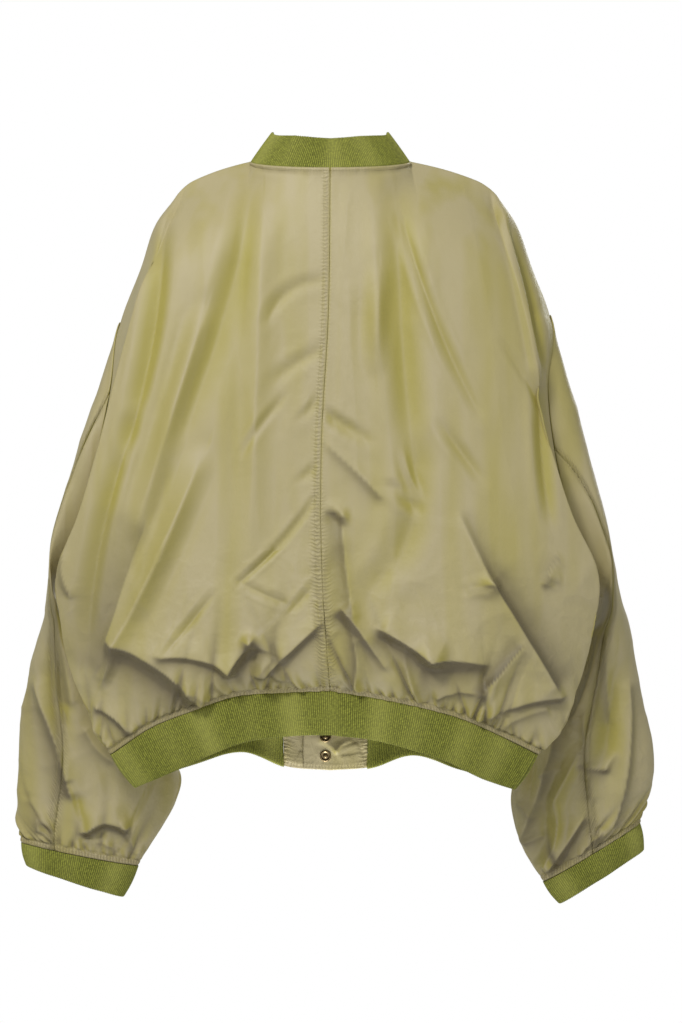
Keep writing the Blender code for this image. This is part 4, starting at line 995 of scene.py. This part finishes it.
SLEEVE_BACK_CREASES = table(Crease, left=(
    (-341, -600, -330, -714, -3, -6, 11, 12, 0.2), (-336, -520, -300, -600, 3, -4, 8, 9, 0.4),
    (-206, -724, -262, -840, 2, -1.6, 3, 3, 0.7), (-290, -640, -250, -700, -3, -3, 7, 8, 0.4),
), right=(
    (350, -612, 345, -723, 3, -6, 12, 12, 0.2), (336, -540, 312, -622, 3, -4, 8, 9, 0.4),
    (258, -700, 250, -775, 2, -3, 7, 7, 0.4), (305, -721, 279, -780, -1, 7, 6, 8, 0.7),
    (281, -778, 268, -861, -8, 7, 6, 8, 0.7),
))
SLEEVE_BACK_FOLDS = table(Fold, left=(
    (-364, -635, -324, -765, -2, 5.5, 16, 13, 0.6, 1), (-324, -753, -304, -824, -2, -5, 6, 6, 0.7, 1),
    (-303, -815, -260, -810, -9, 7, 20, 9, 1, 1), (-263, -807, -246, -842, -2, 4, 9, 8, 1, 0.6),
    (-325, -672, -335, -746, 2, 3, 10, 11, 0.5, 0.6), (-303, -689, -273, -726, 4, 3, 9, 7, 0.7, 0.7),
    (-337, -525, -322, -648, 0, 4, 10, 12, 0.4, 0.8), (-373, -778, -364, -812, -4, 3.5, 8, 8, 0.7, 1),
    (-362, -802, -344, -822, -4, 3, 7, 6, 1, 0.6), (-289, -829, -268, -839, -2, 3, 5, 5, 1, 0.6),
    (-258, -539, -244, -598, 2, 3, 10, 10, 0.4, 0.6),
), right=(
    (241, -829, 291, -660, 2, 4.5, 10, 9, 0.7, 0.9), (311, -730, 341, -735, 2, 4, 9, 8, 0.7, 1),
    (340, -736, 351, -719, 0, 3.5, 6, 7, 1, 0.4), (276, -861, 313, -800, 0, 7, 12, 12, 1, 0.6),
    (307, -849, 334, -819, -1, 5, 7, 8, 0.8, 0.9), (326, -844, 348, -815, -2, 4, 7, 8, 0.8, 0.7),
    (353, -807, 368, -635, 9, 5, 14, 7, 0.9, 0.6), (264, -746, 280, -736, 1, 3, 6, 5, 0.7, 0.7),
    (238, -785, 252, -800, -1, 3, 6, 5, 0.7, 0.7), (245, -832, 264, -822, 0, 4, 6, 6, 0.8, 0.6),
    (326, -574, 302, -672, -5, 4, 10, 13, 0.5, 0.8), (338, -574, 346, -672, 2, 3.5, 12, 12, 0.5, 0.6),
    (314, -672, 324, -770, 2, 3, 10, 10, 0.4, 0.7),
))
SLEEVE_FRONT_CREASES = table(Crease, left=(
    (-318, -380, -342, -520, 4, -6, 12, 12, 0.3), (-366, -560, -330, -700, -5, -8, 11, 12, 0.4),
    (-330, -610, -262, -742, 6, -9, 11, 12, 0.3), (-300, -700, -318, -812, 3, 6, 10, 10, 0.3),
    (-370, -730, -342, -826, -3, -7, 8, 9, 0.5), (-270, -750, -290, -840, 2, -5, 7, 8, 0.5),
    (-290, -560, -340, -590, -4, -5, 7, 8, 0.6),
), right=(
    (316, -370, 346, -530, -4, -6, 12, 12, 0.3), (372, -570, 340, -706, 5, -8, 11, 12, 0.4),
    (330, -600, 286, -760, -6, -9, 11, 12, 0.3), (318, -720, 330, -820, -3, 6, 10, 10, 0.3),
    (390, -700, 366, -800, 3, -7, 8, 9, 0.5), (270, -760, 292, -858, -2, -5, 7, 8, 0.5),
    (296, -590, 350, -616, 4, -5, 7, 8, 0.6),
))
JOINING = ((0, 1.0), (1, 0.45), (2, 0.12), (3, 0.0))  # share of the armhole's form in each ring
SLEEVE = Finish(1.6, 24, 0.4, 1.4, 15, 0.3, 0.4, -480, 160, 51, 111, 25, 4.2, 0)
SLEEVE_TOP_FREE = 22.0  # creases start over this far from the armhole,
SEAM_FREE = 7.0  # and wrinkles over this far from the seams
TURN_START = 0.05  # creases of the back and of the front start this far round the sleeve,
TURN_RUN = 0.35  # over this much
SLEEVE_ROWS = shares(84, 7, 620, 0.42, 96)
SLEEVE_COLUMNS = {"outer": 112, "under": 60}


def ring_at(rings, side, number, up, out):
    """Points round a sleeve: `up` from its outer edge (1) to its inner edge (-1), `out` towards
    the back."""
    row = Ring(*(through(range(len(rings)), column, number) for column in zip(*rings)))
    x = (side * (row.ox + row.ix) + side * (row.ox - row.ix) * up) / 2
    x = x + side * np.where(out > 0, row.back_bow, row.front_bow) * out ** 2
    y = (row.oy + row.iy + (row.oy - row.iy) * up - out * row.thick) / 2
    z = (row.oz + row.iz + (row.oz - row.iz) * up) / 2
    return np.stack([x, y, z], axis=-1)


def sleeve(side, number, angle):
    """Smooth form of a sleeve at a ring's number and an angle round it, from the armhole down."""
    up, out = np.cos(angle), np.sin(angle)
    top, low = ARMHOLE_Z[side]
    z = (top + low) / 2 + (top - low) / 2 * up
    y = level("seam_y", z) - ARMHOLE_HALF_DEPTH * out
    armhole = np.stack([side * level(sided(side, "seam"), z), y, z], axis=-1)
    first = ring_at(SLEEVES[side], side, number * 0.0, up, out)
    share = through(*zip(*JOINING), np.minimum(number, JOINING[-1][0]))
    return ring_at(SLEEVES[side], side, number, up, out) + (armhole - first) * share[..., None]


for side in (-1, 1):
    seam_angle = math.acos(SEAM_UP[side])
    for part, start, end in (("outer", math.pi, 2 * math.pi + seam_angle), ("under", seam_angle, math.pi)):
        number, angle = np.meshgrid(SLEEVE_ROWS * (len(SLEEVES[side]) - 1),
                                    np.linspace(start, end, SLEEVE_COLUMNS[part]), indexing="ij")
        base = sleeve(side, number, angle)
        x, z = base[..., 0], base[..., 2]
        top, to_cuff, across, to_end = edge_runs(base)
        stitched, plain = (to_end, across) if part == "outer" else (across, to_end)
        behind, ahead = (smooth((sign * np.sin(angle) - TURN_START) / TURN_RUN) for sign in (1, -1))
        free = smooth(top / SLEEVE_TOP_FREE) * smooth(to_cuff / EDGE_FREE)
        inside = smooth(across / SEAM_FREE) * smooth(to_end / SEAM_FREE)
        lively = livened(SLEEVE, z)

        folds, shade = folded(SLEEVE_BACK_FOLDS[side], x, z)
        wrinkles, slack = wrinkled(SLEEVE, side, x, z)
        tucks = tucked(SLEEVE, side, across, to_cuff) * inside
        height = (CREASE_RISE * creased(SLEEVE_BACK_CREASES[side], x, z) + folds) * behind
        height += creased(SLEEVE_FRONT_CREASES[side], x, z) * ahead
        height *= free * (0.35 + 0.65 * inside)
        height += (wrinkles * lively + slack) * free * inside + tucks
        height += rolled(to_cuff, across, SLEEVE.edge_phase) * (0.3 + 0.7 * inside)
        if part == "outer":
            height += stitched_band(to_end, top)
        height -= sunk((stitched, 0.9), (plain, 0.8), (top, 0.9))
        seam = 0.6 * bell(stitched - (5 if part == "outer" else 0), 6) * smooth(top / 30)
        lively = np.clip(lively * free + 0.5 * np.exp(-to_cuff / 30), 0, 1)
        shade = np.maximum(shade * behind * free, tuck_shade(tucks))
        centre = (sleeve(side, number, angle * 0) + sleeve(side, number, angle * 0 + math.pi)) / 2
        sewn_piece(sided(side, "sleeve_" + part), base, centre, height, shade, seam,
                   by_roll(to_cuff, 0.7, 3), lively)

# ----------------------------------------------------------------------
# The collar: one strip of rib knit folded double, sewn into the neck under the rolled edge of
# the shell.  It stands up, leans in and ends in the middle of the front.
# ----------------------------------------------------------------------
KNIT_HALF = 1.35  # half the thickness of the folded knit, to the foot of its ribs
KNIT_PITCH = 2.6
KNIT_RISE = 0.75
KNIT_CREST = 0.8  # the lower, the broader the crests of the ribs
KNIT_COLUMNS = 4  # columns of the mesh on each rib
KNIT_FOOT_SHADE = 0.15
KNIT_FADED = 0.35
# dark olive of the painted shade at the foot of each rib
OLIVE_FOOT_SHADE = (0.042, 0.047, 0.006, 1)
OLIVE_CREST = (0.40, 0.425, 0.062, 1)
OLIVE_FADED = (0.47, 0.47, 0.12, 1)
COURSE_PITCH = 1.65347
COURSE_WANDER = 1.5
COURSE_RANGE = (0, 1, 0.4, 1)
YARN_SCALE = 420.0
YARN_RANGE = (0.32, 0.68, 0.55, 1.3)
FUZZ_SCALE = 900.0
KNIT_BUMP_DEPTH = 0.4
KNIT_BUMP = 0.35
COLLAR_HEIGHT_BACK = 35.0
COLLAR_HEIGHT_FRONT = 43.0
COLLAR_DIP = 3.5  # it is this much lower at the sides of the neck, over this width
COLLAR_DIP_WIDTH = 24.0
COLLAR_LEAN = 19.0
COLLAR_CURVE = (1.15, 0.1)  # straight and curved part of the lean
COLLAR_WAVE = 2.2  # how far its upper edge wanders in and out
COLLAR_BUMP = 4.0  # a bump outwards in it, at this x and this wide
COLLAR_BUMP_X = -56.0
COLLAR_BUMP_WIDTH = 6.0
COLLAR_INSIDE = 1.2  # its foot lies this far inside the neck seam,
COLLAR_BELOW = 1.6  # and this far under it
COLLAR_HIDDEN = 3.6  # part of its height that lies behind the shell's edge
COLLAR_ROWS = 15
COLLAR_OPENING = 5.0  # half the space between the collar's ends


def rib_material():
    """Worsted rib knit, olive, with painted shade between the ribs and between the courses of loops, and
    faded in patches.
    """
    made, tree, shader = painted("olive rib knit", {
        "Roughness": 0.78, "Specular IOR Level": 0.25, "Sheen Weight": 0.12,
        "Sheen Tint": (0.9, 0.88, 0.5, 1)})
    tone = added(tree, "Attribute", {}, attribute_name="tone")["Color"]
    parts = added(tree, "SeparateColor", {"Color": tone})
    loops = bands(tree, "Y", COURSE_PITCH, COURSE_WANDER, detail=2.0, detail_scale=1.0)
    # painted shade: between the ribs from the tone, and between the courses of loops from the waves
    course_and_rib_shade = combined(tree, "MULTIPLY", ranged(tree, loops, *COURSE_RANGE), parts["Red"])
    flecks = ranged(tree, noise(tree, YARN_SCALE), *YARN_RANGE)
    crest = mixed(tree, OLIVE_FOOT_SHADE, OLIVE_CREST, combined(tree, "MULTIPLY", course_and_rib_shade, flecks))
    tree.links.new(mixed(tree, crest, OLIVE_FADED, parts["Green"]), shader.inputs["Base Color"])
    rough = combined(tree, "ADD", loops, noise(tree, FUZZ_SCALE))
    tree.links.new(bumped(tree, rough, KNIT_BUMP_DEPTH, KNIT_BUMP), shader.inputs["Normal"])
    return made


knit = rib_material()


def picked(rows, places, at):
    """Rows of three values that lie at the places, interpolated at others."""
    return np.stack([np.interp(at, places, rows[:, k]) for k in range(3)], axis=-1)


def resample(points, count):
    """Evenly spaced points along a polyline."""
    run = run_length(points, 0)
    return picked(points, run, np.linspace(0, run[-1], count))


def rib_columns(points):
    """Columns of the mesh that give a strip whole ribs."""
    return KNIT_COLUMNS * round(run_length(points, 0)[-1] / KNIT_PITCH) + 1


def outwards(band, closed=False):
    """Normals of a band that runs round, facing away from its middle."""
    return surface_normals(band, band.mean(axis=(0, 1)), closed)


def knitted(name, band, turns, closed=False):
    """Rib knit folded double at the last row of a band, closed along its seam."""
    cols = band.shape[1]
    normals = outwards(band, closed)
    rib = 0.5 + 0.5 * np.cos(2 * np.pi * np.arange(cols) / KNIT_COLUMNS)
    length = np.arange(cols) * KNIT_PITCH / KNIT_COLUMNS
    uneven = 1 + 0.18 * np.sin(length / 17.0) + 0.12 * np.sin(length / 5.3)
    rise = (KNIT_HALF + KNIT_RISE * rib ** KNIT_CREST * uneven)[None, :, None]
    on = unit(band[-1] - band[-2])
    edge = [band[-1] + (normals[-1] * math.cos(angle) + on * math.sin(angle)) * rise[0]
            for angle in np.pi * np.arange(1, turns) / turns]
    shell = np.concatenate([band + normals * rise, edge, (band - normals * rise)[::-1]])
    # painted shade at the foot of each rib, for the material's first value
    shade = KNIT_FOOT_SHADE + (1 - KNIT_FOOT_SHADE) * rib
    patches = 0.5 + 0.5 * np.sin(length / 31.0 + 1.0) * np.sin(length / 12.0)
    tone = np.stack([shade, KNIT_FADED * patches ** 2, 0 * rib, 0 * rib, 0 * rib], axis=-1)
    tone = np.broadcast_to(tone, (*shell.shape[:2], 5))
    faces = np.concatenate([normals, np.broadcast_to(on, (turns - 1, cols, 3)), -normals[::-1]])
    piece = cloth("knit_" + name, shell, faces, knit, tone, thick=0, closed=closed, wrapped=True)
    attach(piece, "root")
    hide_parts(name)


def neck_half(side):
    """Neck seam of one side, from the collar's end at the front to the middle of the back."""
    front = panels[sided(side, "front")][0, FRONT_U <= NECK_END]
    back = panels[sided(side, "back")][0, BACK_U <= NECK_END]
    return np.concatenate([front[side * front[:, 0] >= COLLAR_OPENING], back[::-1][1:]])


seam = np.concatenate([neck_half(1), neck_half(-1)[::-1][1:]])
count = rib_columns(seam)
seam = resample(seam, count)
x, y = seam[:, 0], seam[:, 1]
frontness = smooth((y - NECK_BACK_Y) / (NECK_FRONT_Y - NECK_BACK_Y))
tall = COLLAR_HEIGHT_BACK + (COLLAR_HEIGHT_FRONT - COLLAR_HEIGHT_BACK) * frontness ** 3
tall -= COLLAR_DIP * bell(np.abs(x) - NECK_HALF_WIDTH, COLLAR_DIP_WIDTH)
run = np.linspace(0, 1, count)
inward = unit(np.stack([-x, -y, np.zeros(count)], axis=-1))
along = unit(np.gradient(seam, axis=0))
rising = unit(np.array([0.0, 0.0, 1.0]) - along[:, 2:] * along)
band = []
for share in np.linspace(0, 1, COLLAR_ROWS):
    lean = COLLAR_LEAN * (COLLAR_CURVE[0] * share + COLLAR_CURVE[1] * share ** 2)
    wave = COLLAR_WAVE * share * np.sin(run * 41.0) * np.sin(run * 13.0 + 1)
    wave -= COLLAR_BUMP * share * bell(x - COLLAR_BUMP_X, COLLAR_BUMP_WIDTH) * (y < 0)
    foot = seam + inward * (COLLAR_INSIDE + lean + wave)[:, None] - rising * COLLAR_BELOW
    band.append(foot + np.outer((tall + COLLAR_HIDDEN) * share, [0, 0, 1.0]))
knitted("collar_rib", np.array(band), 5)

# ----------------------------------------------------------------------
# The hem: one strip of rib knit folded double, hung from the gathered lower edges of the four
# panels and drawn in.  It stops short of the front edges, where a plain tab of the shell
# finishes each end and carries the lowest snaps.
# ----------------------------------------------------------------------
HEM_TAPER = 0.895  # width and depth of the rib's lower edge against the seam
HEM_TAPER_DEPTH = 0.93
HEM_HALF_WIDTH = {-1: 263.0, 1: 248.0}
HEM_ROWS = 11
HEM_BULGE = 2.2
HEM_WAVE = 1.3
KNIT_DROP = 0.6  # the knit starts this far past the shell's seam line
TAB_EDGE = {-1: 59.0, 1: 46.0}  # where hem rib turns into the shell's tab
TAB_SHAPE = (40, 56)  # rows and columns of a tab's mesh
TAB_BULGE = 0.4
TAB_RISE = 0.8  # share of their relief that is laid; their painted shade takes it whole
TAB_WRINKLE = 1.5
TAB_FREE = 8.0  # wrinkles and folds start over this far from the edges
TAB_STITCH_BAND = 7.0
TAB_FOLDS = [  # the right tab as seen from inside; the left one has them mirrored
    Fold(7, -714, -10, -701, 0, 1.5, 3, 5, 1, 0.8),
    Fold(24, -702, 7, -714, 2, 1.8, 3, 5, 0.7, 1),
    Fold(9, -717, 32, -707, -2, 1.8, 3, 5, 1, 0.7),
    Fold(15, -722, 38, -717, 1, 1.3, 2.5, 4, 1, 0.7),
]


def hem_half(side):
    """Seam and lower edge of one side of the hem, from the middle of the back to the front edge."""
    seams = [panels[sided(side, "back")][-1], panels[sided(side, "front")][-1][::-1]]
    edges = []
    for points, rows in zip(seams, (HEM_BACK, HEM_FRONT)):
        share = np.abs(points[:, 0]) / HEM_HALF_WIDTH[side]
        taper = HEM_TAPER + (1 - HEM_TAPER) * (1 - smooth(share))
        z = hem_height(rows, side, "edge", share)
        edges.append(np.stack([points[:, 0] * taper, points[:, 1] * HEM_TAPER_DEPTH, z], axis=-1))
    return [np.concatenate([back, front[1:]]) for back, front in (seams, edges)]


def cut(line, start, end):
    """Part of a line between two fractional places."""
    at = np.concatenate([[start], np.arange(np.floor(start) + 1, np.ceil(end)), [end]])
    return picked(line, np.arange(len(line)), at)


def place_on(line, x, left):
    """Fractional place where the front part of the hem line passes x."""
    half = len(line) // 2
    for k in range(half) if left else range(len(line) - 2, half, -1):
        low, high = sorted((line[k, 0], line[k + 1, 0]))
        if line[k, 1] > 0 and low <= x <= high:
            return k + (x - line[k, 0]) / (line[k + 1, 0] - line[k, 0])
    raise ValueError("the hem line does not pass there")


def hung(top, low, rows, bulge):
    """A band between two lines, standing out a little between them."""
    share = np.linspace(0, 1, rows)[:, None, None]
    band = top + (low - top) * share
    return band + outwards(band) * bulge * np.sin(np.pi * share)


halves = {side: hem_half(side) for side in (-1, 1)}
whole = [np.concatenate([left[::-1], right[1:]]) for left, right in zip(halves[-1], halves[1])]
start = place_on(whole[0], -TAB_EDGE[-1], True)
end = place_on(whole[0], TAB_EDGE[1], False)
top, low = (cut(line, start, end) for line in whole)
count = rib_columns(top)
band = hung(resample(top, count) - [0, 0, KNIT_DROP], resample(low, count), HEM_ROWS, HEM_BULGE)
run = np.linspace(0, 1, count)
share = np.linspace(0, 1, HEM_ROWS)[:, None]
wave = HEM_WAVE * np.sin(run * 61 + 1) * np.sin(run * 23 + 2) * np.sin(np.pi * 0.8 * share)
knitted("hem_rib", band + outwards(band) * wave[..., None], 4)

for side, first, last in ((-1, 0.0, start), (1, end, len(whole[0]) - 1.0)):
    top, low = (resample(cut(line, first, last), TAB_SHAPE[1]) for line in whole)
    base = hung(top - [0, 0, KNIT_DROP], low, TAB_SHAPE[0], TAB_BULGE)
    x, z = base[..., 0], base[..., 2]
    down, to_low, across, to_end = edge_runs(base)
    sewn = across if side > 0 else to_end
    free = smooth(to_low / TAB_FREE) * smooth(down / TAB_FREE)
    lift, shade = folded(TAB_FOLDS, side * x, z)
    height = (TAB_WRINKLE * crumple(x, z * 1.8, 15.0, 71 + side) - lift) * free
    height -= 0.7 * bell(sewn - 3 - 2 * np.sin(down / 3.0), 3.5)
    height += 0.4 * smooth((TAB_STITCH_BAND - to_low) / 2) - 0.35 * bell(to_low - 6, 0.9)
    seam, edge = 0.4 * np.exp(-sewn / 7), 0.6 * np.exp(-np.abs(to_low - 5) / 4)
    sewn_piece(sided(side, "hem_tab"), base, base.mean(axis=(0, 1)) - [0, 90, 0], height, shade,
               seam, edge, 0.8, rise=TAB_RISE)

# ----------------------------------------------------------------------
# The cuffs: tubes of rib knit folded double, hung from the gathered ends of the sleeves and
# drawn in towards the wrist, the right one turned a little.
# ----------------------------------------------------------------------
CUFF_EDGE = {
    -1: Ring(381, 84, -858, 262, 94, -898, 38, 0, 0),
    1: Ring(393, 110, -842, 287, 92, -907, 38, 0, 0),
}
CUFF_ROWS = 13
CUFF_BULGE = 1.6
CUFF_WAVE = 1.2
for side in (-1, 1):
    angle = np.linspace(0, 2 * np.pi, 361)
    top = sleeve(side, angle * 0 + len(SLEEVES[side]) - 1, angle)
    low = ring_at([CUFF_EDGE[side]] * 2, side, angle * 0, np.cos(angle), np.sin(angle))
    count = rib_columns(top)
    top, low = resample(top, count), resample(low, count)
    top = top + unit(low - top) * KNIT_DROP
    share = np.linspace(0, 1, CUFF_ROWS)[:, None]
    band = top + (low - top) * share[..., None]
    round_it = np.linspace(0, 2 * np.pi, count)
    wave = CUFF_BULGE * np.sin(np.pi * share)
    wave = wave + CUFF_WAVE * np.sin(3 * round_it + side) * np.sin(2 * round_it + 1) * share
    band = band + outwards(band, True) * wave[..., None]
    knitted(sided(side, "cuff"), band, 5, closed=True)

# ----------------------------------------------------------------------
# The snaps: six brass press studs down the front.  Each has a domed cap outside the left front
# and a ring-shaped socket inside the right front, riveted through the cloth.
# ----------------------------------------------------------------------
SNAP_Z = (-721.0, -697.0, -560.0, -430.0, -300.0, -165.0)
SNAP_X = -6.0
SNAP_SINK = 0.1  # the snaps sit this deep in the cloth,
SNAP_REACH = 2  # which is level over this many cells around them
SNAP_STEPS = 48
TAB_TOP_Z = -688.0
# Radius and height of the snaps' outlines, from the middle to the rim.
CAP_PROFILE = ((0.0, 2.5), (2.6, 2.4), (4.8, 1.95), (6.3, 1.3), (7.0, 0.7), (7.1, 0.3), (6.6, 0.0))
SOCKET_PROFILE = ((0.0, 1.5), (1.7, 1.45), (2.2, 1.1), (2.5, 0.45), (3.6, 0.3), (4.5, 0.45),
                  (5.1, 1.3), (5.9, 1.6), (6.7, 1.2), (7.1, 0.4), (6.8, 0.0))
BRASS = {"Base Color": (0.33, 0.25, 0.13, 1), "Metallic": 1.0, "Roughness": 0.34}
brass = painted("snap brass", BRASS)[0]


def surface_at(name, x, z):
    """Point and outward normal of a dressed front or tab nearest to x, z."""
    grid = dressed[name]
    away = (grid[..., 0] - x) ** 2 + (grid[..., 2] - z) ** 2
    i, j = (np.clip(k, SNAP_REACH, size - 1 - SNAP_REACH)
            for k, size in zip(np.unravel_index(np.argmin(away), away.shape), away.shape))
    down = grid[i + SNAP_REACH, j] - grid[i - SNAP_REACH, j]
    normal = unit(np.cross(down, grid[i, j + SNAP_REACH] - grid[i, j - SNAP_REACH]))
    return grid[i, j], normal * np.sign(normal[1])


def turned_piece(name, profile, foot, axis):
    """A profile turned in brass about an axis that stands on its foot."""
    bm = bmesh.new()
    points = [bm.verts.new((radius * MM, 0, height * MM)) for radius, height in profile]
    edges = [bm.edges.new(pair) for pair in zip(points, points[1:])]
    bmesh.ops.spin(bm, geom=points + edges, cent=(0, 0, 0), axis=(0, 0, 1), angle=2 * math.pi,
                   steps=SNAP_STEPS)
    bmesh.ops.remove_doubles(bm, verts=bm.verts[:], dist=WELD)
    bmesh.ops.holes_fill(bm, edges=[edge for edge in bm.edges if edge.is_boundary], sides=0)
    bmesh.ops.recalc_face_normals(bm, faces=bm.faces[:])
    turn = Vector(axis).to_track_quat("Z", "Y").to_matrix().to_4x4()
    bmesh.ops.transform(bm, matrix=Matrix.Translation(Vector(foot * MM)) @ turn, verts=bm.verts[:])
    mesh = meshed(name, bm)
    mesh.shade_smooth()
    return placed(name, mesh, brass)


for number, z in enumerate(SNAP_Z, start=1):
    for kind, side, profile in (("cap", -1, CAP_PROFILE), ("back", 1, SOCKET_PROFILE)):
        foot, axis = surface_at(sided(side, "hem_tab" if z < TAB_TOP_Z else "front"), SNAP_X, z)
        if kind == "back":
            foot, axis = foot - axis * NYLON_THICK, -axis
        node = f"snap_{kind}_{number}"
        snap = turned_piece("brass_" + node, profile, foot - axis * SNAP_SINK, axis)
        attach(snap, "root")
        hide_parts(node)

# ----------------------------------------------------------------------
# The topstitching: beige thread laid in short stitches along the middle seam, the sleeve seams,
# the rolled edges at neck, hem and cuffs, the front edges and the tabs.
# ----------------------------------------------------------------------
STITCH_STEP = 3.1
STITCH_SIZE = (1.15, 0.3, 0.26)  # half length, half width and half height of a stitch
ROLL_STITCH = 5.0  # from the shell's edge at neck, hem, cuffs and tabs
FACING_STITCH = FACING_WIDTH - 1.5
thread = painted("beige thread", {"Base Color": (0.34, 0.29, 0.14, 1), "Roughness": 0.6})[0]


def line_on(name, distance, edge):
    """Points and normals of a line on a panel, at a distance from its top, bottom, first or last
    edge."""
    grid = dressed[name]
    normals = unit(np.cross(np.gradient(grid, axis=0), np.gradient(grid, axis=1)))
    normals = normals * (1 if (normals * facings[name]).sum() > 0 else -1)
    if edge in ("top", "bottom"):
        grid, normals = grid.swapaxes(0, 1), normals.swapaxes(0, 1)
    if edge in ("bottom", "last"):
        grid, normals = grid[:, ::-1], normals[:, ::-1]
    at = np.array([np.interp(distance, run, np.arange(len(run))) for run in run_length(grid, 1)])
    low = np.minimum(at.astype(int), grid.shape[1] - 2)
    part, rows = (at - low)[:, None], np.arange(len(at))
    return [g[rows, low] * (1 - part) + g[rows, low + 1] * part for g in (grid, normals)]


def lines_on(parts, distance, edge, skip, keep=slice(None)):
    """Lines on the left and on the right pieces of some parts, each with what its stitches skip."""
    return [(*(grid[keep] for grid in line_on(sided(side, part), distance, edge)), skip)
            for side in (-1, 1) for part in parts]


def stitches_along(line, normals, skip):
    """Centres, directions and normals of stitches along a line, `skip` short of its ends."""
    run = run_length(line, 0)
    at = np.arange(skip, run[-1] - skip, STITCH_STEP)
    centres = picked(line, run, at)
    return centres, unit(np.gradient(centres, axis=0)), unit(picked(normals, run, at))


def stitching(name, lines):
    """One mesh of all the stitches of a set of lines."""
    runs = [stitches_along(*line) for line in lines]
    centre, along, out = (np.concatenate(group) for group in zip(*runs))
    bm = bmesh.new()
    bmesh.ops.create_icosphere(bm, subdivisions=1, radius=1)
    number = bm.verts.layers.int.new("number")
    made = 1
    while made < len(centre):
        copied = bmesh.ops.duplicate(bm, geom=bm.verts[:] + bm.edges[:] + bm.faces[:])
        for vert in (item for item in copied["geom"] if isinstance(item, bmesh.types.BMVert)):
            vert[number] += made
        made *= 2
    spare = [vert for vert in bm.verts if vert[number] >= len(centre)]
    bmesh.ops.delete(bm, geom=spare, context="VERTS")
    mesh = meshed(name, bm)
    corner = np.empty(len(mesh.vertices) * 3, dtype=np.float32)
    mesh.vertices.foreach_get("co", corner)
    length, width, height = np.split(corner.reshape(-1, 3) * STITCH_SIZE, 3, axis=1)
    which = np.empty(len(mesh.vertices), dtype=np.int32)
    mesh.attributes["number"].data.foreach_get("value", which)
    across = np.cross(out, along)
    place = centre[which] + length * along[which] + width * across[which] + height * out[which]
    mesh.vertices.foreach_set("co", (place * MM).astype(np.float32).ravel())
    mesh.attributes.remove(mesh.attributes["number"])
    mesh.update()
    mesh.shade_smooth()
    piece = placed(name, mesh, thread)
    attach(piece, "root")


stitching("thread_back", [
    (*line_on("back_left", SEAM_STITCH, "first"), 8),
    *lines_on(["back"], ROLL_STITCH, "bottom", 4),
    *lines_on(["back"], ROLL_STITCH, "top", 2, BACK_U <= NECK_SHARE)])
stitching("thread_fronts", [
    *lines_on(["front"], FACING_STITCH, "first", 8),
    *lines_on(["front"], ROLL_STITCH, "bottom", 4),
    *lines_on(["front"], ROLL_STITCH, "top", 2, FRONT_U <= NECK_SHARE),
    *lines_on(["hem_tab"], ROLL_STITCH, "bottom", 3)])
stitching("thread_sleeves", [
    *lines_on(["sleeve_outer"], SEAM_STITCH, "last", 8),
    *lines_on(["sleeve_outer", "sleeve_under"], ROLL_STITCH, "bottom", 3)])
